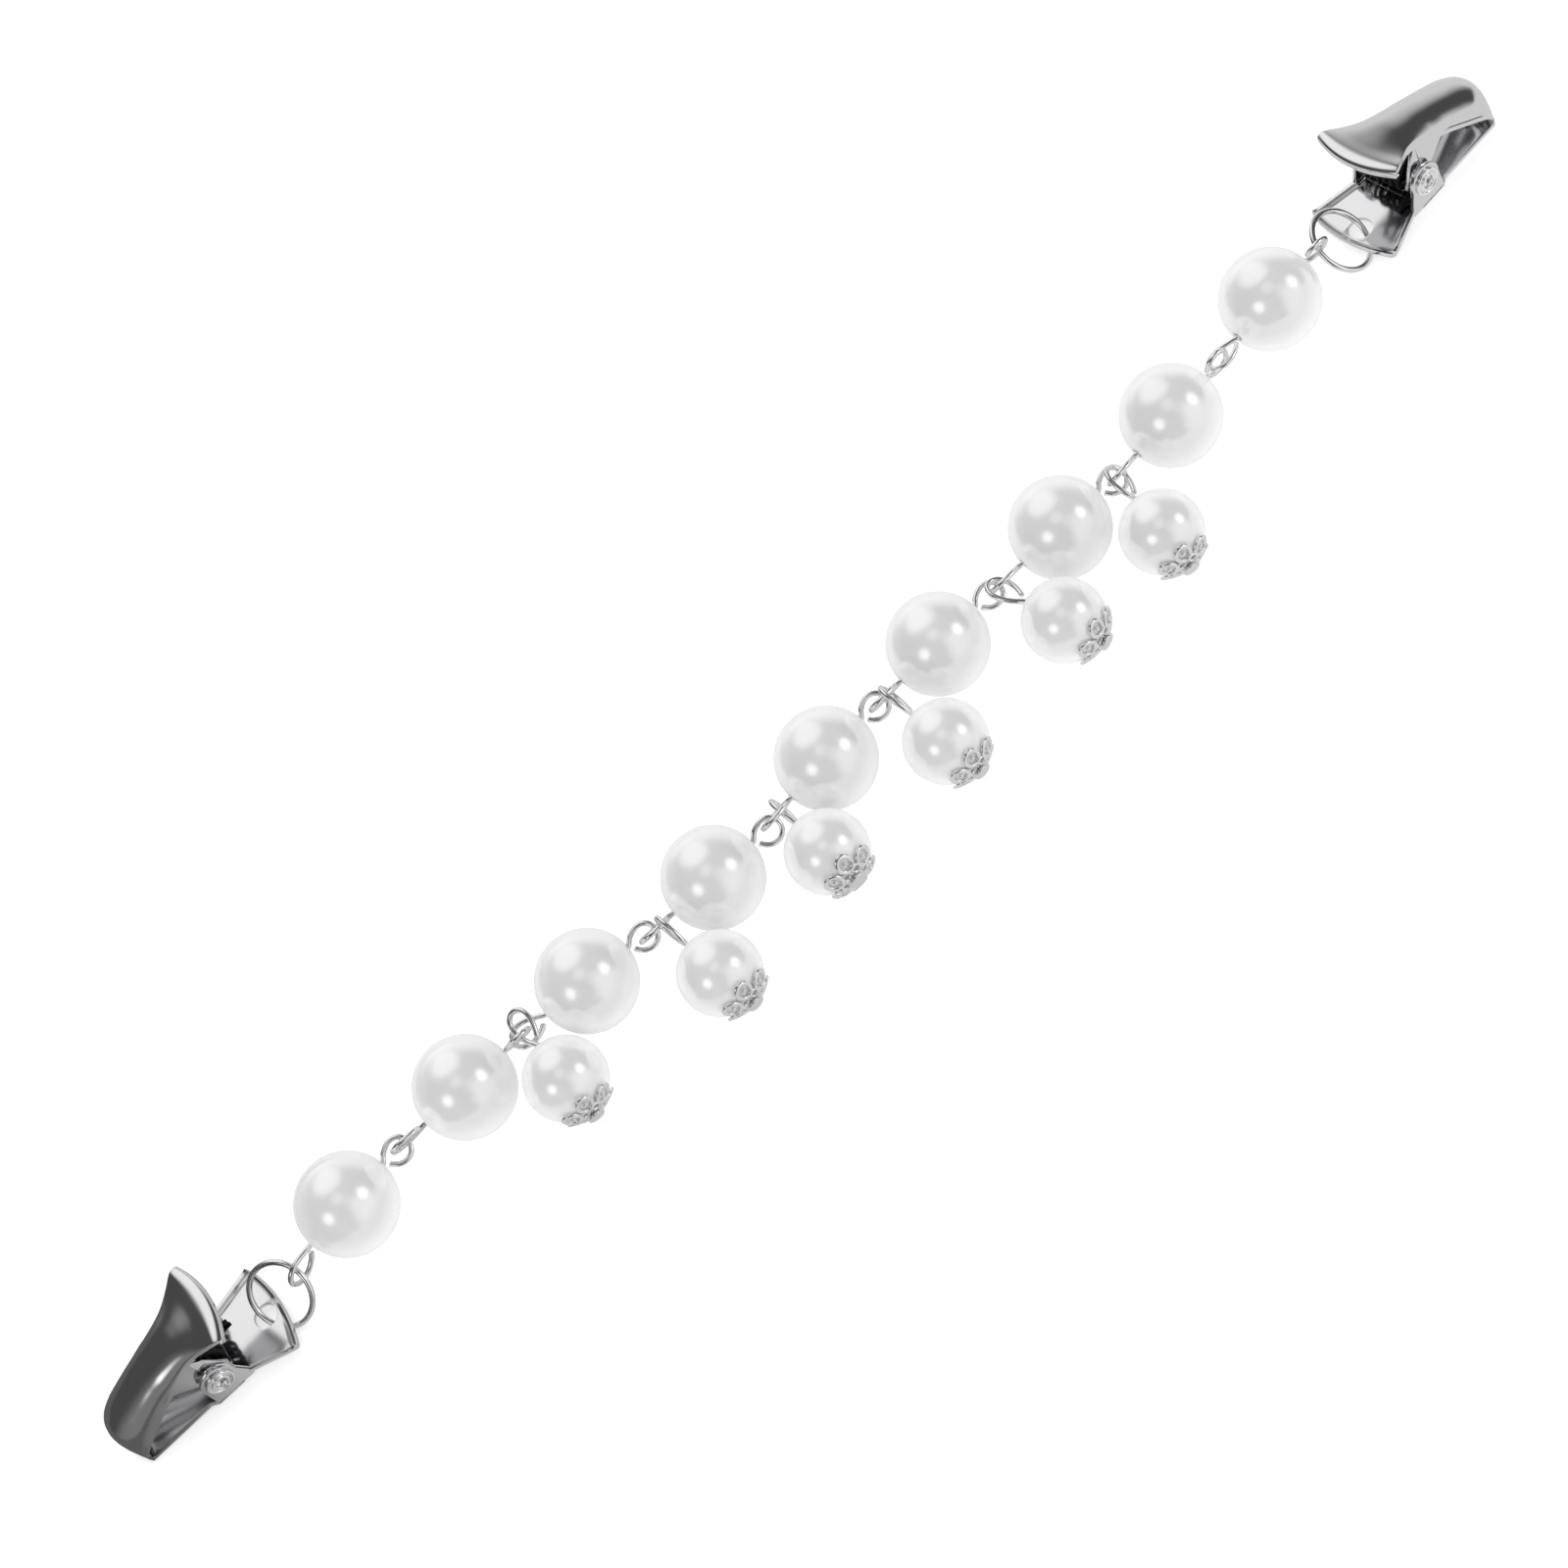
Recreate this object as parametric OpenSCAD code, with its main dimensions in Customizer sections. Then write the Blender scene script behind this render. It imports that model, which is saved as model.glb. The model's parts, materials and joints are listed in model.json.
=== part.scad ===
// Sweater clip: a row of pearl beads on eye pins with small pearl drops,
// and at each end a ring and a sprung metal clip. All sizes are in millimetres.
// It lies on a surface at z = 0, with the row along X and the drops towards -Y.

/* [Pearls] */
// Diameter of a pearl in the row
pearl_d = 10; // [8:0.5:12]
// Diameter of a drop pearl
drop_d = 8.2; // [7:0.2:9]
// Diameter of the hole drilled through each pearl
pearl_bore = 1; // [0.9:0.05:1.6]

/* [Eye pins] */
// Wire of the eye pins and drop pins
wire_d = 0.55; // [0.4:0.05:0.6]
// How far the loop on the left of a pearl stands out
left_loop_len = 4; // [3.6:0.1:4.6]
// Width of the loop on the left of a pearl, between wire centres
left_loop_w = 2.3; // [2:0.1:2.8]
// How far the loop on the right of a pearl stands out
right_loop_len = 3.1; // [2.9:0.1:3.6]
// Width of the loop on the right of a pearl, between wire centres
right_loop_w = 2.5; // [2.2:0.1:3]
// How far a drop's loop stands out
drop_loop_len = 4.2; // [3.8:0.1:5]
// Width of a drop's loop, between wire centres
drop_loop_w = 2.3; // [2:0.1:2.8]
// How far two linked loops lap over each other
link_lap = 1.9; // [1.7:0.05:2]
// Angle that the loops at the row's two ends are bent down, towards their rings
end_droop = 14; // [10:1:16]
// Angle that the loop at the row's left end is bent aside, towards the drops
end_aside = 12; // [8:1:14]

/* [Bead caps] */
// Diameter of a bead cap over its petals
cap_d = 6.1; // [5:0.1:6.6]
// Thickness of a bead cap
cap_t = 0.35; // [0.25:0.05:0.5]
// Number of petals
cap_petals = 6; // [5:1:8]
// Diameter of the flat head on a drop pin
pin_head_d = 1.8; // [1.4:0.1:2.4]
// Thickness of that head
pin_head_t = 0.35; // [0.25:0.05:0.5]

/* [Clip rings] */
// Diameter of a ring between wire centres
ring_d = 6.6; // [6.2:0.1:7.4]
// Wire of a ring
ring_wire = 0.6; // [0.5:0.05:0.65]
// Slope of a ring's plane
ring_slope = 45; // [43:1:50]
// Angle, seen from above, between the row and the way that a ring runs under its tail
ring_turn = 45; // [40:1:50]

/* [Clip] */
// Angle that the left clip's nose is turned away from the drops
left_heading = 4.4; // [0:0.2:8]
// Angle that the right clip's nose is turned away from the drops
right_heading = 6.6; // [0:0.2:8]
// Sheet that the jaws are pressed from
sheet = 0.4; // [0.3:0.05:0.45]
// Pivot to the corners of the nose
jaw_len = 10.4; // [8.8:0.4:12]
// Width of the nose
nose_w = 7; // [6.4:0.2:8]
// How far the nose bows out past its corners
nose_bow = 1.2; // [0.8:0.1:1.6]
// Pivot to the underside of the lower jaw
jaw_drop = 3; // [2.8:0.1:3.4]
// Gap between the closed jaws at the nose
mouth_gap = 0.2; // [0.15:0.05:0.5]

/* [Lower jaw] */
// Pivot to the fold where the tail begins
tail_fold = 2.1; // [2:0.1:2.6]
// Pivot to the corners of the tail
tail_len = 7; // [6.8:0.2:8]
// Width across the tail's corners
tail_w = 10.7; // [10:0.1:12]
// How far the tail's end bows out past its corners
tail_bow = 0.9; // [0.8:0.1:1.2]
// Angle that the tail is folded down
tail_bend = 4; // [2:1:8]
// Height of the turned-up sides of the tail above its plate
tail_rim = 0.6; // [0.4:0.1:1]
// Diameter of the ring hole in the tail
tail_hole_d = 2.4; // [2.35:0.05:2.5]
// Pivot to the centre of that hole
tail_hole_at = 6.1; // [6:0.05:6.2]
// Radius of the round top of each ear
ear_r = 1.9; // [1.7:0.1:2.2]
// Width over the outer faces of the ears
ears_w = 7.7; // [7.5:0.1:8.2]

/* [Upper jaw] */
// How much wider the waist is than the upper ears under it
waist_over = 0.1; // [0:0.05:0.2]
// Pivot to the top of the raised tail
crown_h = 6.2; // [5.8:0.1:7]
// Pivot to the corners of the raised tail
thumb_len = 4.1; // [3.9:0.1:5]
// Width across the corners of the raised tail
thumb_w = 9.8; // [9.4:0.1:11]
// How far the raised tail's end bows out past its corners
thumb_bow = 1.1; // [0.8:0.1:1.4]
// Depth of the strip turned down along each side
side_strip = 0.6; // [0.4:0.05:0.8]
// Gap between an upper ear and the lower ear beside it
ear_gap = 0.45; // [0.3:0.05:0.5]

/* [Rivet and spring] */
// Diameter of the hollow rivet
rivet_d = 2.2; // [2:0.1:2.3]
// Bore of the hollow rivet
rivet_bore = 1.2; // [1:0.1:1.4]
// Diameter of its rolled heads
rivet_head_d = 3; // [2.8:0.1:3.4]
// Thickness of its rolled heads
rivet_head_t = 0.38; // [0.3:0.02:0.5]
// Radial clearance of the rivet in the ears
rivet_fit = 0.05; // [0.02:0.01:0.08]
// Wire of the spring
spring_wire = 0.5; // [0.4:0.05:0.55]
// Mean diameter of the spring's coil
spring_d = 3.2; // [3.1:0.05:3.3]
// Whole turns of the spring, beside the part turn between its legs
spring_turns = 5; // [4:1:5]

/* [Hidden] */
$fn = 64;

steel = [0.72, 0.73, 0.75];
bright = [0.86, 0.87, 0.88];
pearl_white = [0.95, 0.94, 0.92];
dark_steel = [0.25, 0.25, 0.27];

// The chosen places of the pearls, for a pitch of 15.2 from pearl to pearl:
// [x, y, heading of the pin, roll of its left loop, roll of its right loop]
PEARLS = [
    [-57.1, -3.3, 5, 90, 25],
    [-41.7, -3.1, -2, -65, -60],
    [-26.6, -4.1, -6, 15, 25],
    [-11.4, -5.7, -3, -50, 40],
    [4.1, -4.9, 5, -50, 30],
    [19.3, -4.4, 1, -60, 15],
    [35.4, -4.6, -1, -55, 30],
    [50.6, -4.2, 5, -55, -85],
    [65.6, -2.5, 6, -15, -70]
];

// The chosen places where the drops hook on, at the same pitch:
// [x, y, height above the row's middle, heading of the pin, roll of its loop]
DROPS = [
    [-33.7, -1.9, 1.65, 86, -25],
    [-17.9, -5.3, 0.95, 95, 95],
    [-2.3, -3.7, -0.75, 91, 75],
    [12.4, -4.4, 1.25, 94, 70],
    [26.7, -4.2, 1.1, 106, 20],
    [42.6, -4.6, 1.4, 81, 45]
];

pearl_r = pearl_d / 2;
drop_r = drop_d / 2;
pitch = pearl_d + left_loop_len + right_loop_len - link_lap;
spread = pitch / 15.2;

// A bent loop: [length, half width, taper towards the pearl, first angle, last angle, side shift]
LEFT_LOOP = [left_loop_len, left_loop_w / 2, 0.7, 28, 318, 0.2];
RIGHT_LOOP = [right_loop_len, right_loop_w / 2, 0.35, 20, 329, 0.2];
DROP_LOOP = [drop_loop_len, drop_loop_w / 2, 0.8, 31, 316, 0];
loop_steps = 18;
loop_foot = 0.2;
loop_settle = 1.2;
stem_inside = 0.5;
stem_out = 0.05;
wire_sides = 6;

// Bead caps sit on the far end of each drop pearl
cap_seat = 0.05;
cap_in_r = drop_r + cap_seat;
cap_out_r = cap_in_r + cap_t;
petal_r = cap_d * 0.16;
petal_ring_r = cap_d / 2 - petal_r;
petal_hole_r = petal_r * 0.48;
cap_middle_r = petal_ring_r * 0.86;
cap_slot_r = petal_r * 0.3;
cap_slot_ring_r = cap_middle_r * 0.62;
head_seat = 0.03;
head_in = cap_out_r + head_seat;
head_out = head_in + pin_head_t;

// Lower jaw and its tail
ear_out = ears_w / 2;
ear_in = ear_out - sheet;
plate_top = sheet - jaw_drop;
nose_r = (pow(nose_w / 2, 2) + pow(nose_bow, 2)) / (2 * nose_bow);
tail_end_r = (pow(tail_w / 2, 2) + pow(tail_bow, 2)) / (2 * tail_bow);
tail_run = tail_len - tail_fold;
hole_run = tail_hole_at - tail_fold;
plate_lap = 0.3;
cut = 1;

// A ring threads the hole, dips under the tail and comes up past its end
ring_r = ring_d / 2;
ring_play = 0.1;
ring_depth = sheet / 2 + ring_wire / 2 + 1.8 * ring_play;
ring_dip = ring_depth / sin(ring_slope);
ring_half_chord = sqrt(pow(ring_r, 2) - pow(ring_r - ring_dip, 2));
ring_pull = 0.25;

// The clip lies with its nose down and its tail on the ring
clip_lift = ring_wire + 2 * ring_play;
nose_reach = jaw_len + nose_bow;
clip_tilt = asin((clip_lift + (tail_run + tail_bow) * sin(tail_bend))
    / (nose_reach + tail_fold + tail_run + tail_bow));
pivot_z = nose_reach * sin(clip_tilt) + jaw_drop * cos(clip_tilt);

// Each tail's hole stands this much nearer than a ring pulled tight, and this far aside
left_play = 2.4;
right_play = 2.2;
left_aside = 0;
right_aside = 1.3;
last = len(PEARLS) - 1;
left_hole = spread * [PEARLS[0].x, PEARLS[0].y]
    + [left_play - pearl_r - ring_d - left_loop_len, left_aside];
right_hole = spread * [PEARLS[last].x, PEARLS[last].y]
    + [pearl_r + ring_d + right_loop_len - right_play, right_aside];
left_pivot = left_hole + tail_hole_at * [-cos(left_heading), sin(left_heading)];
right_pivot = right_hole + tail_hole_at * [cos(right_heading), sin(right_heading)];

// Upper jaw: a pressed shell lofted through these sections, from the tail's lip to the nose.
// [along, flare, edge height, crown height, bow, roundness, side strip]
// along is a share of thumb_len behind the pivot and of jaw_len ahead of it, flare a share of the
// step from the waist to the tail's or the nose's half width, a height a share of crown_h above the
// pivot and of mouth_z below it, bow a share of thumb_bow or nose_bow, side strip one of side_strip.
SHELL = [
    [-1.02, 0.98, 0.85, 0.87, -1.00, 2.0, 0.10],
    [-1.00, 1.00, 0.95, 0.975, -1.00, 2.0, 0.35],
    [-0.84, 0.89, 0.99, 1.02, -0.91, 2.0, 0.80],
    [-0.50, 0.49, 0.90, 0.975, -0.55, 2.0, 1.00],
    [-0.16, 0.15, 0.80, 0.935, -0.18, 2.2, 1.00],
    [0.06, 0.02, 0.695, 0.895, 0.00, 2.4, 1.00],
    [0.25, 0.00, 0.515, 0.805, 0.00, 2.4, 1.00],
    [0.45, 0.12, 0.36, 0.69, 0.08, 2.4, 1.00],
    [0.70, 0.56, 0.12, 0.50, 0.33, 2.4, 1.00],
    [0.90, 0.89, -0.22, 0.30, 0.67, 2.4, 1.00],
    [0.99, 0.89, -0.62, 0.13, 0.92, 2.4, 0.90],
    [1.01, 0.80, -0.96, -0.94, 1.00, 2.4, 0.10]
];
shell_steps = 6;
mouth_z = -plate_top - mouth_gap;
upper_ear_out = ear_in - ear_gap;
upper_ear_in = upper_ear_out - sheet;
waist_w = 2 * upper_ear_out + waist_over;
upper_ear_r = ear_r - 0.2;

// Rivet and spring
rivet_r = rivet_d / 2;
head_gap = 0.02;
head_bevel = 0.1;
spring_r = spring_d / 2;
coil_half = upper_ear_in - spring_wire / 2 - 0.1;
coil_steps = 15;
leg_gap = 0.06;
low_leg_end = [-0.4 * tail_len, plate_top - (0.4 * tail_len - tail_fold) * sin(tail_bend)
    + spring_wire / 2 + leg_gap];
high_leg_end = [-0.68 * thumb_len, crown_h * 0.92 - sheet - spring_wire / 2 - leg_gap];

// The middle of the whole outline, where the origin is
far_left = left_pivot.x - reach_of_nose(left_heading);
far_right = right_pivot.x + reach_of_nose(right_heading);
far_back = right_pivot.y + max(
    back_of(-thumb_len, thumb_w / 2, SHELL[1][2] * crown_h),
    back_of(jaw_len, nose_w / 2, plate_top),
    back_of(-tail_len, tail_w / 2, -jaw_drop)
);
far_front = min([for (i = [1:len(DROPS)]) lowest_y_of_drop(i)]);
mid_x = (far_left + far_right) / 2;
mid_y = (far_front + far_back) / 2;

function unit(v) = v / norm(v);

// How far a point of the right clip lies behind its pivot
function back_of(along, out, up) =
    out * cos(right_heading) + (along * cos(clip_tilt) + up * sin(clip_tilt)) * sin(right_heading);

// How far the bowed nose of a clip reaches along the row
function reach_of_nose(heading) =
    ((1.01 * jaw_len + nose_bow) * cos(clip_tilt) - 0.96 * mouth_z * sin(clip_tilt)) * cos(heading)
    + pow(nose_w / 2 * sin(heading), 2) / (4 * nose_bow * cos(heading));

function pearl_at(i) = [
    spread * PEARLS[i - 1].x - mid_x,
    spread * PEARLS[i - 1].y - mid_y,
    pearl_r
];

// The rise of a drop's pin from its pearl, which rests on the surface, to its hook
function drop_rise(i) = asin((pearl_r + spread * DROPS[i - 1].z - drop_r) / (drop_r + drop_loop_len));

function drop_way(i) = let (h = DROPS[i - 1][3], p = drop_rise(i))
    [cos(h) * cos(p), sin(h) * cos(p), sin(p)];

function drop_off_centre(i) = let (way = drop_way(i), reach = drop_r + drop_loop_len) [
    spread * DROPS[i - 1].x - reach * way.x,
    spread * DROPS[i - 1].y - reach * way.y,
    drop_r
];

function drop_at(i) = drop_off_centre(i) - [mid_x, mid_y, 0];

function lowest_y_of_drop(i) = let (way = drop_way(i))
    drop_off_centre(i).y - max(drop_r, head_out * way.y + pin_head_d / 2 * sqrt(1 - pow(way.y, 2)));

// Half of a loop's width at an angle round it, as a share of the largest
function loop_swell(angle, taper) = let (widest = acos(-taper / (2 + taper)))
    sin(angle) * pow(sin(angle / 2), taper) / (sin(widest) * pow(sin(widest / 2), taper));

function settle(s) = let (t = min(max(s / loop_settle, 0), 1)) t * t * (3 - 2 * t);

// Points of a loop that stands out along X from a bead of radius r0, on the side that way says
// with 1 or -1. The loop is turned about the pin by roll, then bent down at the bead by droop and
// aside by aside.
function loop_points(loop, r0, roll, way, droop = 0, aside = 0) = concat(
    [[way * (r0 - stem_inside), 0, 0]],
    [for (k = [-1:loop_steps])
        let (angle = loop[3] + (loop[4] - loop[3]) * k / loop_steps,
            s = k < 0 ? stem_out : loop_foot + (loop[0] - loop_foot) * (1 - cos(angle)) / 2,
            q = k < 0 ? 0 : loop[1] * loop_swell(angle, loop[2]) - loop[5] * settle(s),
            up = q * sin(roll),
            out = way * (s * cos(droop) + up * sin(droop)),
            side = q * cos(roll))
        [
            way * r0 + out * cos(aside) - side * sin(aside),
            out * sin(aside) + side * cos(aside),
            up * cos(droop) - s * sin(droop)
        ]]
);

function reversed(points) = [for (k = [len(points) - 1:-1:0]) points[k]];

function tangents(points) = [for (k = [0:len(points) - 1])
    unit(points[min(k + 1, len(points) - 1)] - points[max(k - 1, 0)])];

function first_normal(t) = unit(cross(t, abs(t.z) < 0.8 ? [0, 0, 1] : [0, 1, 0]));

// Each normal is the one before it, turned no more than the wire's bend asks
function normals(ts) = [for (k = 0, n = first_normal(ts[0]); k < len(ts);
    k = k + 1, n = k < len(ts) ? unit(n - (n * ts[k]) * ts[k]) : n) n];

// A round wire along a list of points
module wire(points, d) {
    ts = tangents(points);
    ns = normals(ts);
    turns = len(points);
    skin = [for (k = [0:turns - 1]) for (j = [0:wire_sides - 1])
        let (a = 360 * j / wire_sides)
        points[k] + d / 2 * (cos(a) * ns[k] + sin(a) * cross(ts[k], ns[k]))];
    sides = [for (k = [0:turns - 2]) for (j = [0:wire_sides - 1])
        let (a = k * wire_sides + j, b = k * wire_sides + (j + 1) % wire_sides)
        each [[a, a + wire_sides, b + wire_sides], [a, b + wire_sides, b]]];
    start = [[for (j = [0:wire_sides - 1]) j]];
    end = [[for (j = [wire_sides - 1:-1:0]) (turns - 1) * wire_sides + j]];
    polyhedron(skin, concat(sides, start, end));
}

module in_row(i) {
    translate(pearl_at(i)) rotate([0, 0, PEARLS[i - 1][2]]) children();
}

module in_drop(i) {
    translate(drop_at(i)) rotate([0, -drop_rise(i), DROPS[i - 1][3]]) children();
}

module drilled_pearl(d) {
    rotate([0, 90, 0]) difference() {
        sphere(d = d);
        cylinder(h = d + 2 * cut, d = pearl_bore, center = true);
    }
}

module pearl(i) {
    color(pearl_white) in_row(i) drilled_pearl(pearl_d);
}

module eye_pin(i) {
    left = i == 1
        ? loop_points(LEFT_LOOP, pearl_r, PEARLS[0][3], -1, end_droop, end_aside)
        : loop_points(LEFT_LOOP, pearl_r, PEARLS[i - 1][3], -1);
    right = loop_points(RIGHT_LOOP, pearl_r, PEARLS[i - 1][4], 1, i == len(PEARLS) ? end_droop : 0);
    color(bright) in_row(i) wire(concat(reversed(left), right), wire_d);
}

module drop_pearl(i) {
    color(pearl_white) in_drop(i) drilled_pearl(drop_d);
}

module drop_pin(i) {
    loop = loop_points(DROP_LOOP, drop_r, DROPS[i - 1][4], 1);
    color(bright) in_drop(i) {
        wire(concat([[-head_in - pin_head_t / 2, 0, 0]], loop), wire_d);
        rotate([0, -90, 0]) translate([0, 0, head_in]) cylinder(h = pin_head_t, d = pin_head_d);
    }
}

module cap_outline() {
    difference() {
        union() {
            circle(r = cap_middle_r);
            for (k = [0:cap_petals - 1])
                rotate(360 * k / cap_petals) translate([petal_ring_r, 0]) circle(r = petal_r);
        }
        for (k = [0:cap_petals - 1])
            rotate(360 * k / cap_petals) translate([petal_ring_r, 0]) circle(r = petal_hole_r);
        for (k = [0:cap_petals - 1])
            rotate(360 * (k + 0.5) / cap_petals) translate([cap_slot_ring_r, 0]) circle(r = cap_slot_r);
        circle(d = pearl_bore);
    }
}

module bead_cap(i) {
    color(bright) in_drop(i) rotate([0, -90, 0]) intersection() {
        difference() {
            sphere(r = cap_out_r);
            sphere(r = cap_in_r);
        }
        translate([0, 0, drop_r / 2]) linear_extrude(height = drop_r) cap_outline();
    }
}

module at_clip(side) {
    place = side == "left" ? left_pivot : right_pivot;
    heading = side == "left" ? 180 - left_heading : right_heading;
    translate([place.x - mid_x, place.y - mid_y, pivot_z]) rotate([0, 0, heading]) rotate([0, clip_tilt, 0])
        children();
}

module in_tail() {
    translate([-tail_fold, 0, -jaw_drop]) rotate([0, -tail_bend, 0]) children();
}

// A sheet ear that stands along Y between two distances from the middle, on both sides
module ear_pair(near, far) {
    for (way = [-1, 1])
        translate([0, way > 0 ? far : -near, 0]) rotate([90, 0, 0])
            linear_extrude(height = far - near) children();
}

module nose_outline() {
    polygon([
        [-tail_fold, ear_out],
        [1.1 * ear_r, ear_out],
        [1.5 * ear_r, nose_w / 2 - sheet / 4],
        [jaw_len, nose_w / 2],
        [jaw_len, -nose_w / 2],
        [1.5 * ear_r, sheet / 4 - nose_w / 2],
        [1.1 * ear_r, -ear_out],
        [-tail_fold, -ear_out]
    ]);
    intersection() {
        translate([nose_reach - nose_r, 0]) circle(r = nose_r, $fn = 128);
        translate([jaw_len - sheet, -nose_w / 2]) square([nose_bow + 2 * sheet, nose_w]);
    }
}

// The tail's outline less a margin at its two sides
module tail_outline(margin, past) {
    half_near = ear_out - margin;
    half_far = tail_w / 2 - margin;
    slope = (half_far - half_near) / tail_run;
    polygon([
        [plate_lap, half_near - slope * plate_lap],
        [-tail_run - past, half_far + slope * past],
        [-tail_run - past, -half_far - slope * past],
        [plate_lap, slope * plate_lap - half_near]
    ]);
}

module tail_end() {
    intersection() {
        translate([tail_end_r - tail_run - tail_bow, 0]) circle(r = tail_end_r, $fn = 256);
        translate([-tail_run - 2 * tail_bow, -tail_w / 2]) square([2 * tail_bow + sheet, tail_w]);
    }
}

module lower_jaw(side) {
    color(steel) at_clip(side) difference() {
        union() {
            translate([0, 0, -jaw_drop]) linear_extrude(height = sheet) nose_outline();
            ear_pair(ear_in, ear_out) lower_ear_outline();
            in_tail() difference() {
                linear_extrude(height = sheet + tail_rim) tail_outline(0, 0);
                translate([0, 0, sheet]) linear_extrude(height = tail_rim + cut) tail_outline(sheet, cut);
            }
            in_tail() linear_extrude(height = sheet) tail_end();
        }
        in_tail() translate([-hole_run, 0, -cut]) cylinder(h = sheet + 2 * cut, d = tail_hole_d);
        rotate([90, 0, 0]) cylinder(h = ears_w + cut, r = rivet_r + rivet_fit, center = true);
    }
}

module lower_ear_outline() {
    circle(r = ear_r);
    polygon([
        [-0.95 * ear_r, 0],
        [-tail_fold, sheet / 2 - jaw_drop],
        [1.1 * ear_r, sheet / 2 - jaw_drop],
        [0.95 * ear_r, 0]
    ]);
}

// One point of the shell, from a row of the table and a share v across it
function shell_point(row, v) =
    let (back = row[0] < 0,
        half = waist_w / 2 + row[1] * ((back ? thumb_w : nose_w) - waist_w) / 2,
        low = row[2] * (row[2] < 0 ? mouth_z : crown_h),
        high = row[3] * (row[3] < 0 ? mouth_z : crown_h),
        along = row[0] * (back ? thumb_len : jaw_len),
        bow = row[4] * (row[4] < 0 ? thumb_bow : nose_bow))
    [along + bow * (1 - v * v), half * v, low + (high - low) * pow(max(1 - pow(abs(v), row[5]), 0), 0.6)];

// A row of points across the shell, with the turned-down strip as its first and last point
function shell_row(row) =
    let (drop = [0, 0, -row[6] * side_strip])
    concat(
        [shell_point(row, -1) + drop],
        [for (k = [-shell_steps:shell_steps]) shell_point(row, sin(90 * k / shell_steps))],
        [shell_point(row, 1) + drop]
    );

module shell() {
    outer = [for (row = SHELL) shell_row(row)];
    rows = len(outer);
    cols = len(outer[0]);
    inner = [for (i = [0:rows - 1]) [for (j = [0:cols - 1])
        let (along = outer[min(i + 1, rows - 1)][j] - outer[max(i - 1, 0)][j],
            across = outer[i][min(j + 1, cols - 1)] - outer[i][max(j - 1, 0)])
        outer[i][j] - sheet * unit(cross(along, across))]];
    skin = concat([for (row = outer) each row], [for (row = inner) each row]);
    under = rows * cols;
    faces = concat(
        [for (i = [0:rows - 2]) for (j = [0:cols - 2])
            let (a = i * cols + j, b = a + 1, c = a + cols, d = c + 1)
            each [
                [a, b, d], [a, d, c],
                [under + a, under + d, under + b], [under + a, under + c, under + d]
            ]],
        [for (i = [0:rows - 2])
            let (a = i * cols, c = a + cols)
            each [[a, c, under + c], [a, under + c, under + a]]],
        [for (i = [0:rows - 2])
            let (a = i * cols + cols - 1, c = a + cols)
            each [[a, under + c, c], [a, under + a, under + c]]],
        [for (j = [0:cols - 2])
            each [[j, under + j + 1, j + 1], [j, under + j, under + j + 1]]],
        [for (j = [0:cols - 2])
            let (a = (rows - 1) * cols + j)
            each [[a, a + 1, under + a + 1], [a, under + a + 1, under + a]]]
    );
    polyhedron(skin, faces);
}

// Height of the shell's edge over a place along it, less half of its strip
EDGE = [for (row = SHELL) [
    row[0] * (row[0] < 0 ? thumb_len : jaw_len),
    row[2] * (row[2] < 0 ? mouth_z : crown_h) - side_strip / 2
]];

module upper_ear_outline() {
    circle(r = upper_ear_r);
    polygon([
        [-upper_ear_r, 0],
        [0, lookup(0, EDGE)],
        [0.25 * jaw_len, lookup(0.25 * jaw_len, EDGE)],
        [0.42 * jaw_len, lookup(0.42 * jaw_len, EDGE)],
        [upper_ear_r, 0]
    ]);
}

module upper_jaw(side) {
    color(steel) at_clip(side) difference() {
        union() {
            shell();
            ear_pair(upper_ear_in, upper_ear_out) upper_ear_outline();
        }
        rotate([90, 0, 0]) cylinder(h = ears_w, r = rivet_r + rivet_fit, center = true);
    }
}

module rivet(side) {
    seat = ear_out + head_gap;
    end = seat + rivet_head_t;
    color(bright) at_clip(side) rotate([90, 0, 0]) rotate_extrude() polygon([
        [rivet_bore / 2, -end],
        [rivet_head_d / 2 - head_bevel, -end],
        [rivet_head_d / 2, -end + head_bevel],
        [rivet_head_d / 2, -seat],
        [rivet_r, -seat],
        [rivet_r, seat],
        [rivet_head_d / 2, seat],
        [rivet_head_d / 2, end - head_bevel],
        [rivet_head_d / 2 - head_bevel, end],
        [rivet_bore / 2, end]
    ]);
}

// The angle at which a line from a point outside the coil touches it; way is 1 or -1
function touch_angle(p, way) = atan2(p.y, p.x) + way * acos(spring_r / norm(p));

// The coil between two angles; its ends lead off in straight legs
module spring(side) {
    from = touch_angle(low_leg_end, 1);
    part_turn = touch_angle(high_leg_end, -1) - from;
    sweep = 360 * (spring_turns + (part_turn < 0 ? 1 : 0)) + part_turn;
    steps = ceil(sweep / 360 * coil_steps);
    coil = [for (k = [0:steps]) let (a = from + sweep * k / steps)
        [spring_r * cos(a), -coil_half + 2 * coil_half * k / steps, spring_r * sin(a)]];
    color(dark_steel) at_clip(side) wire(concat(
        [[low_leg_end.x, -coil_half, low_leg_end.y]],
        coil,
        [[high_leg_end.x, coil_half, high_leg_end.y]]
    ), spring_wire);
}

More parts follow.
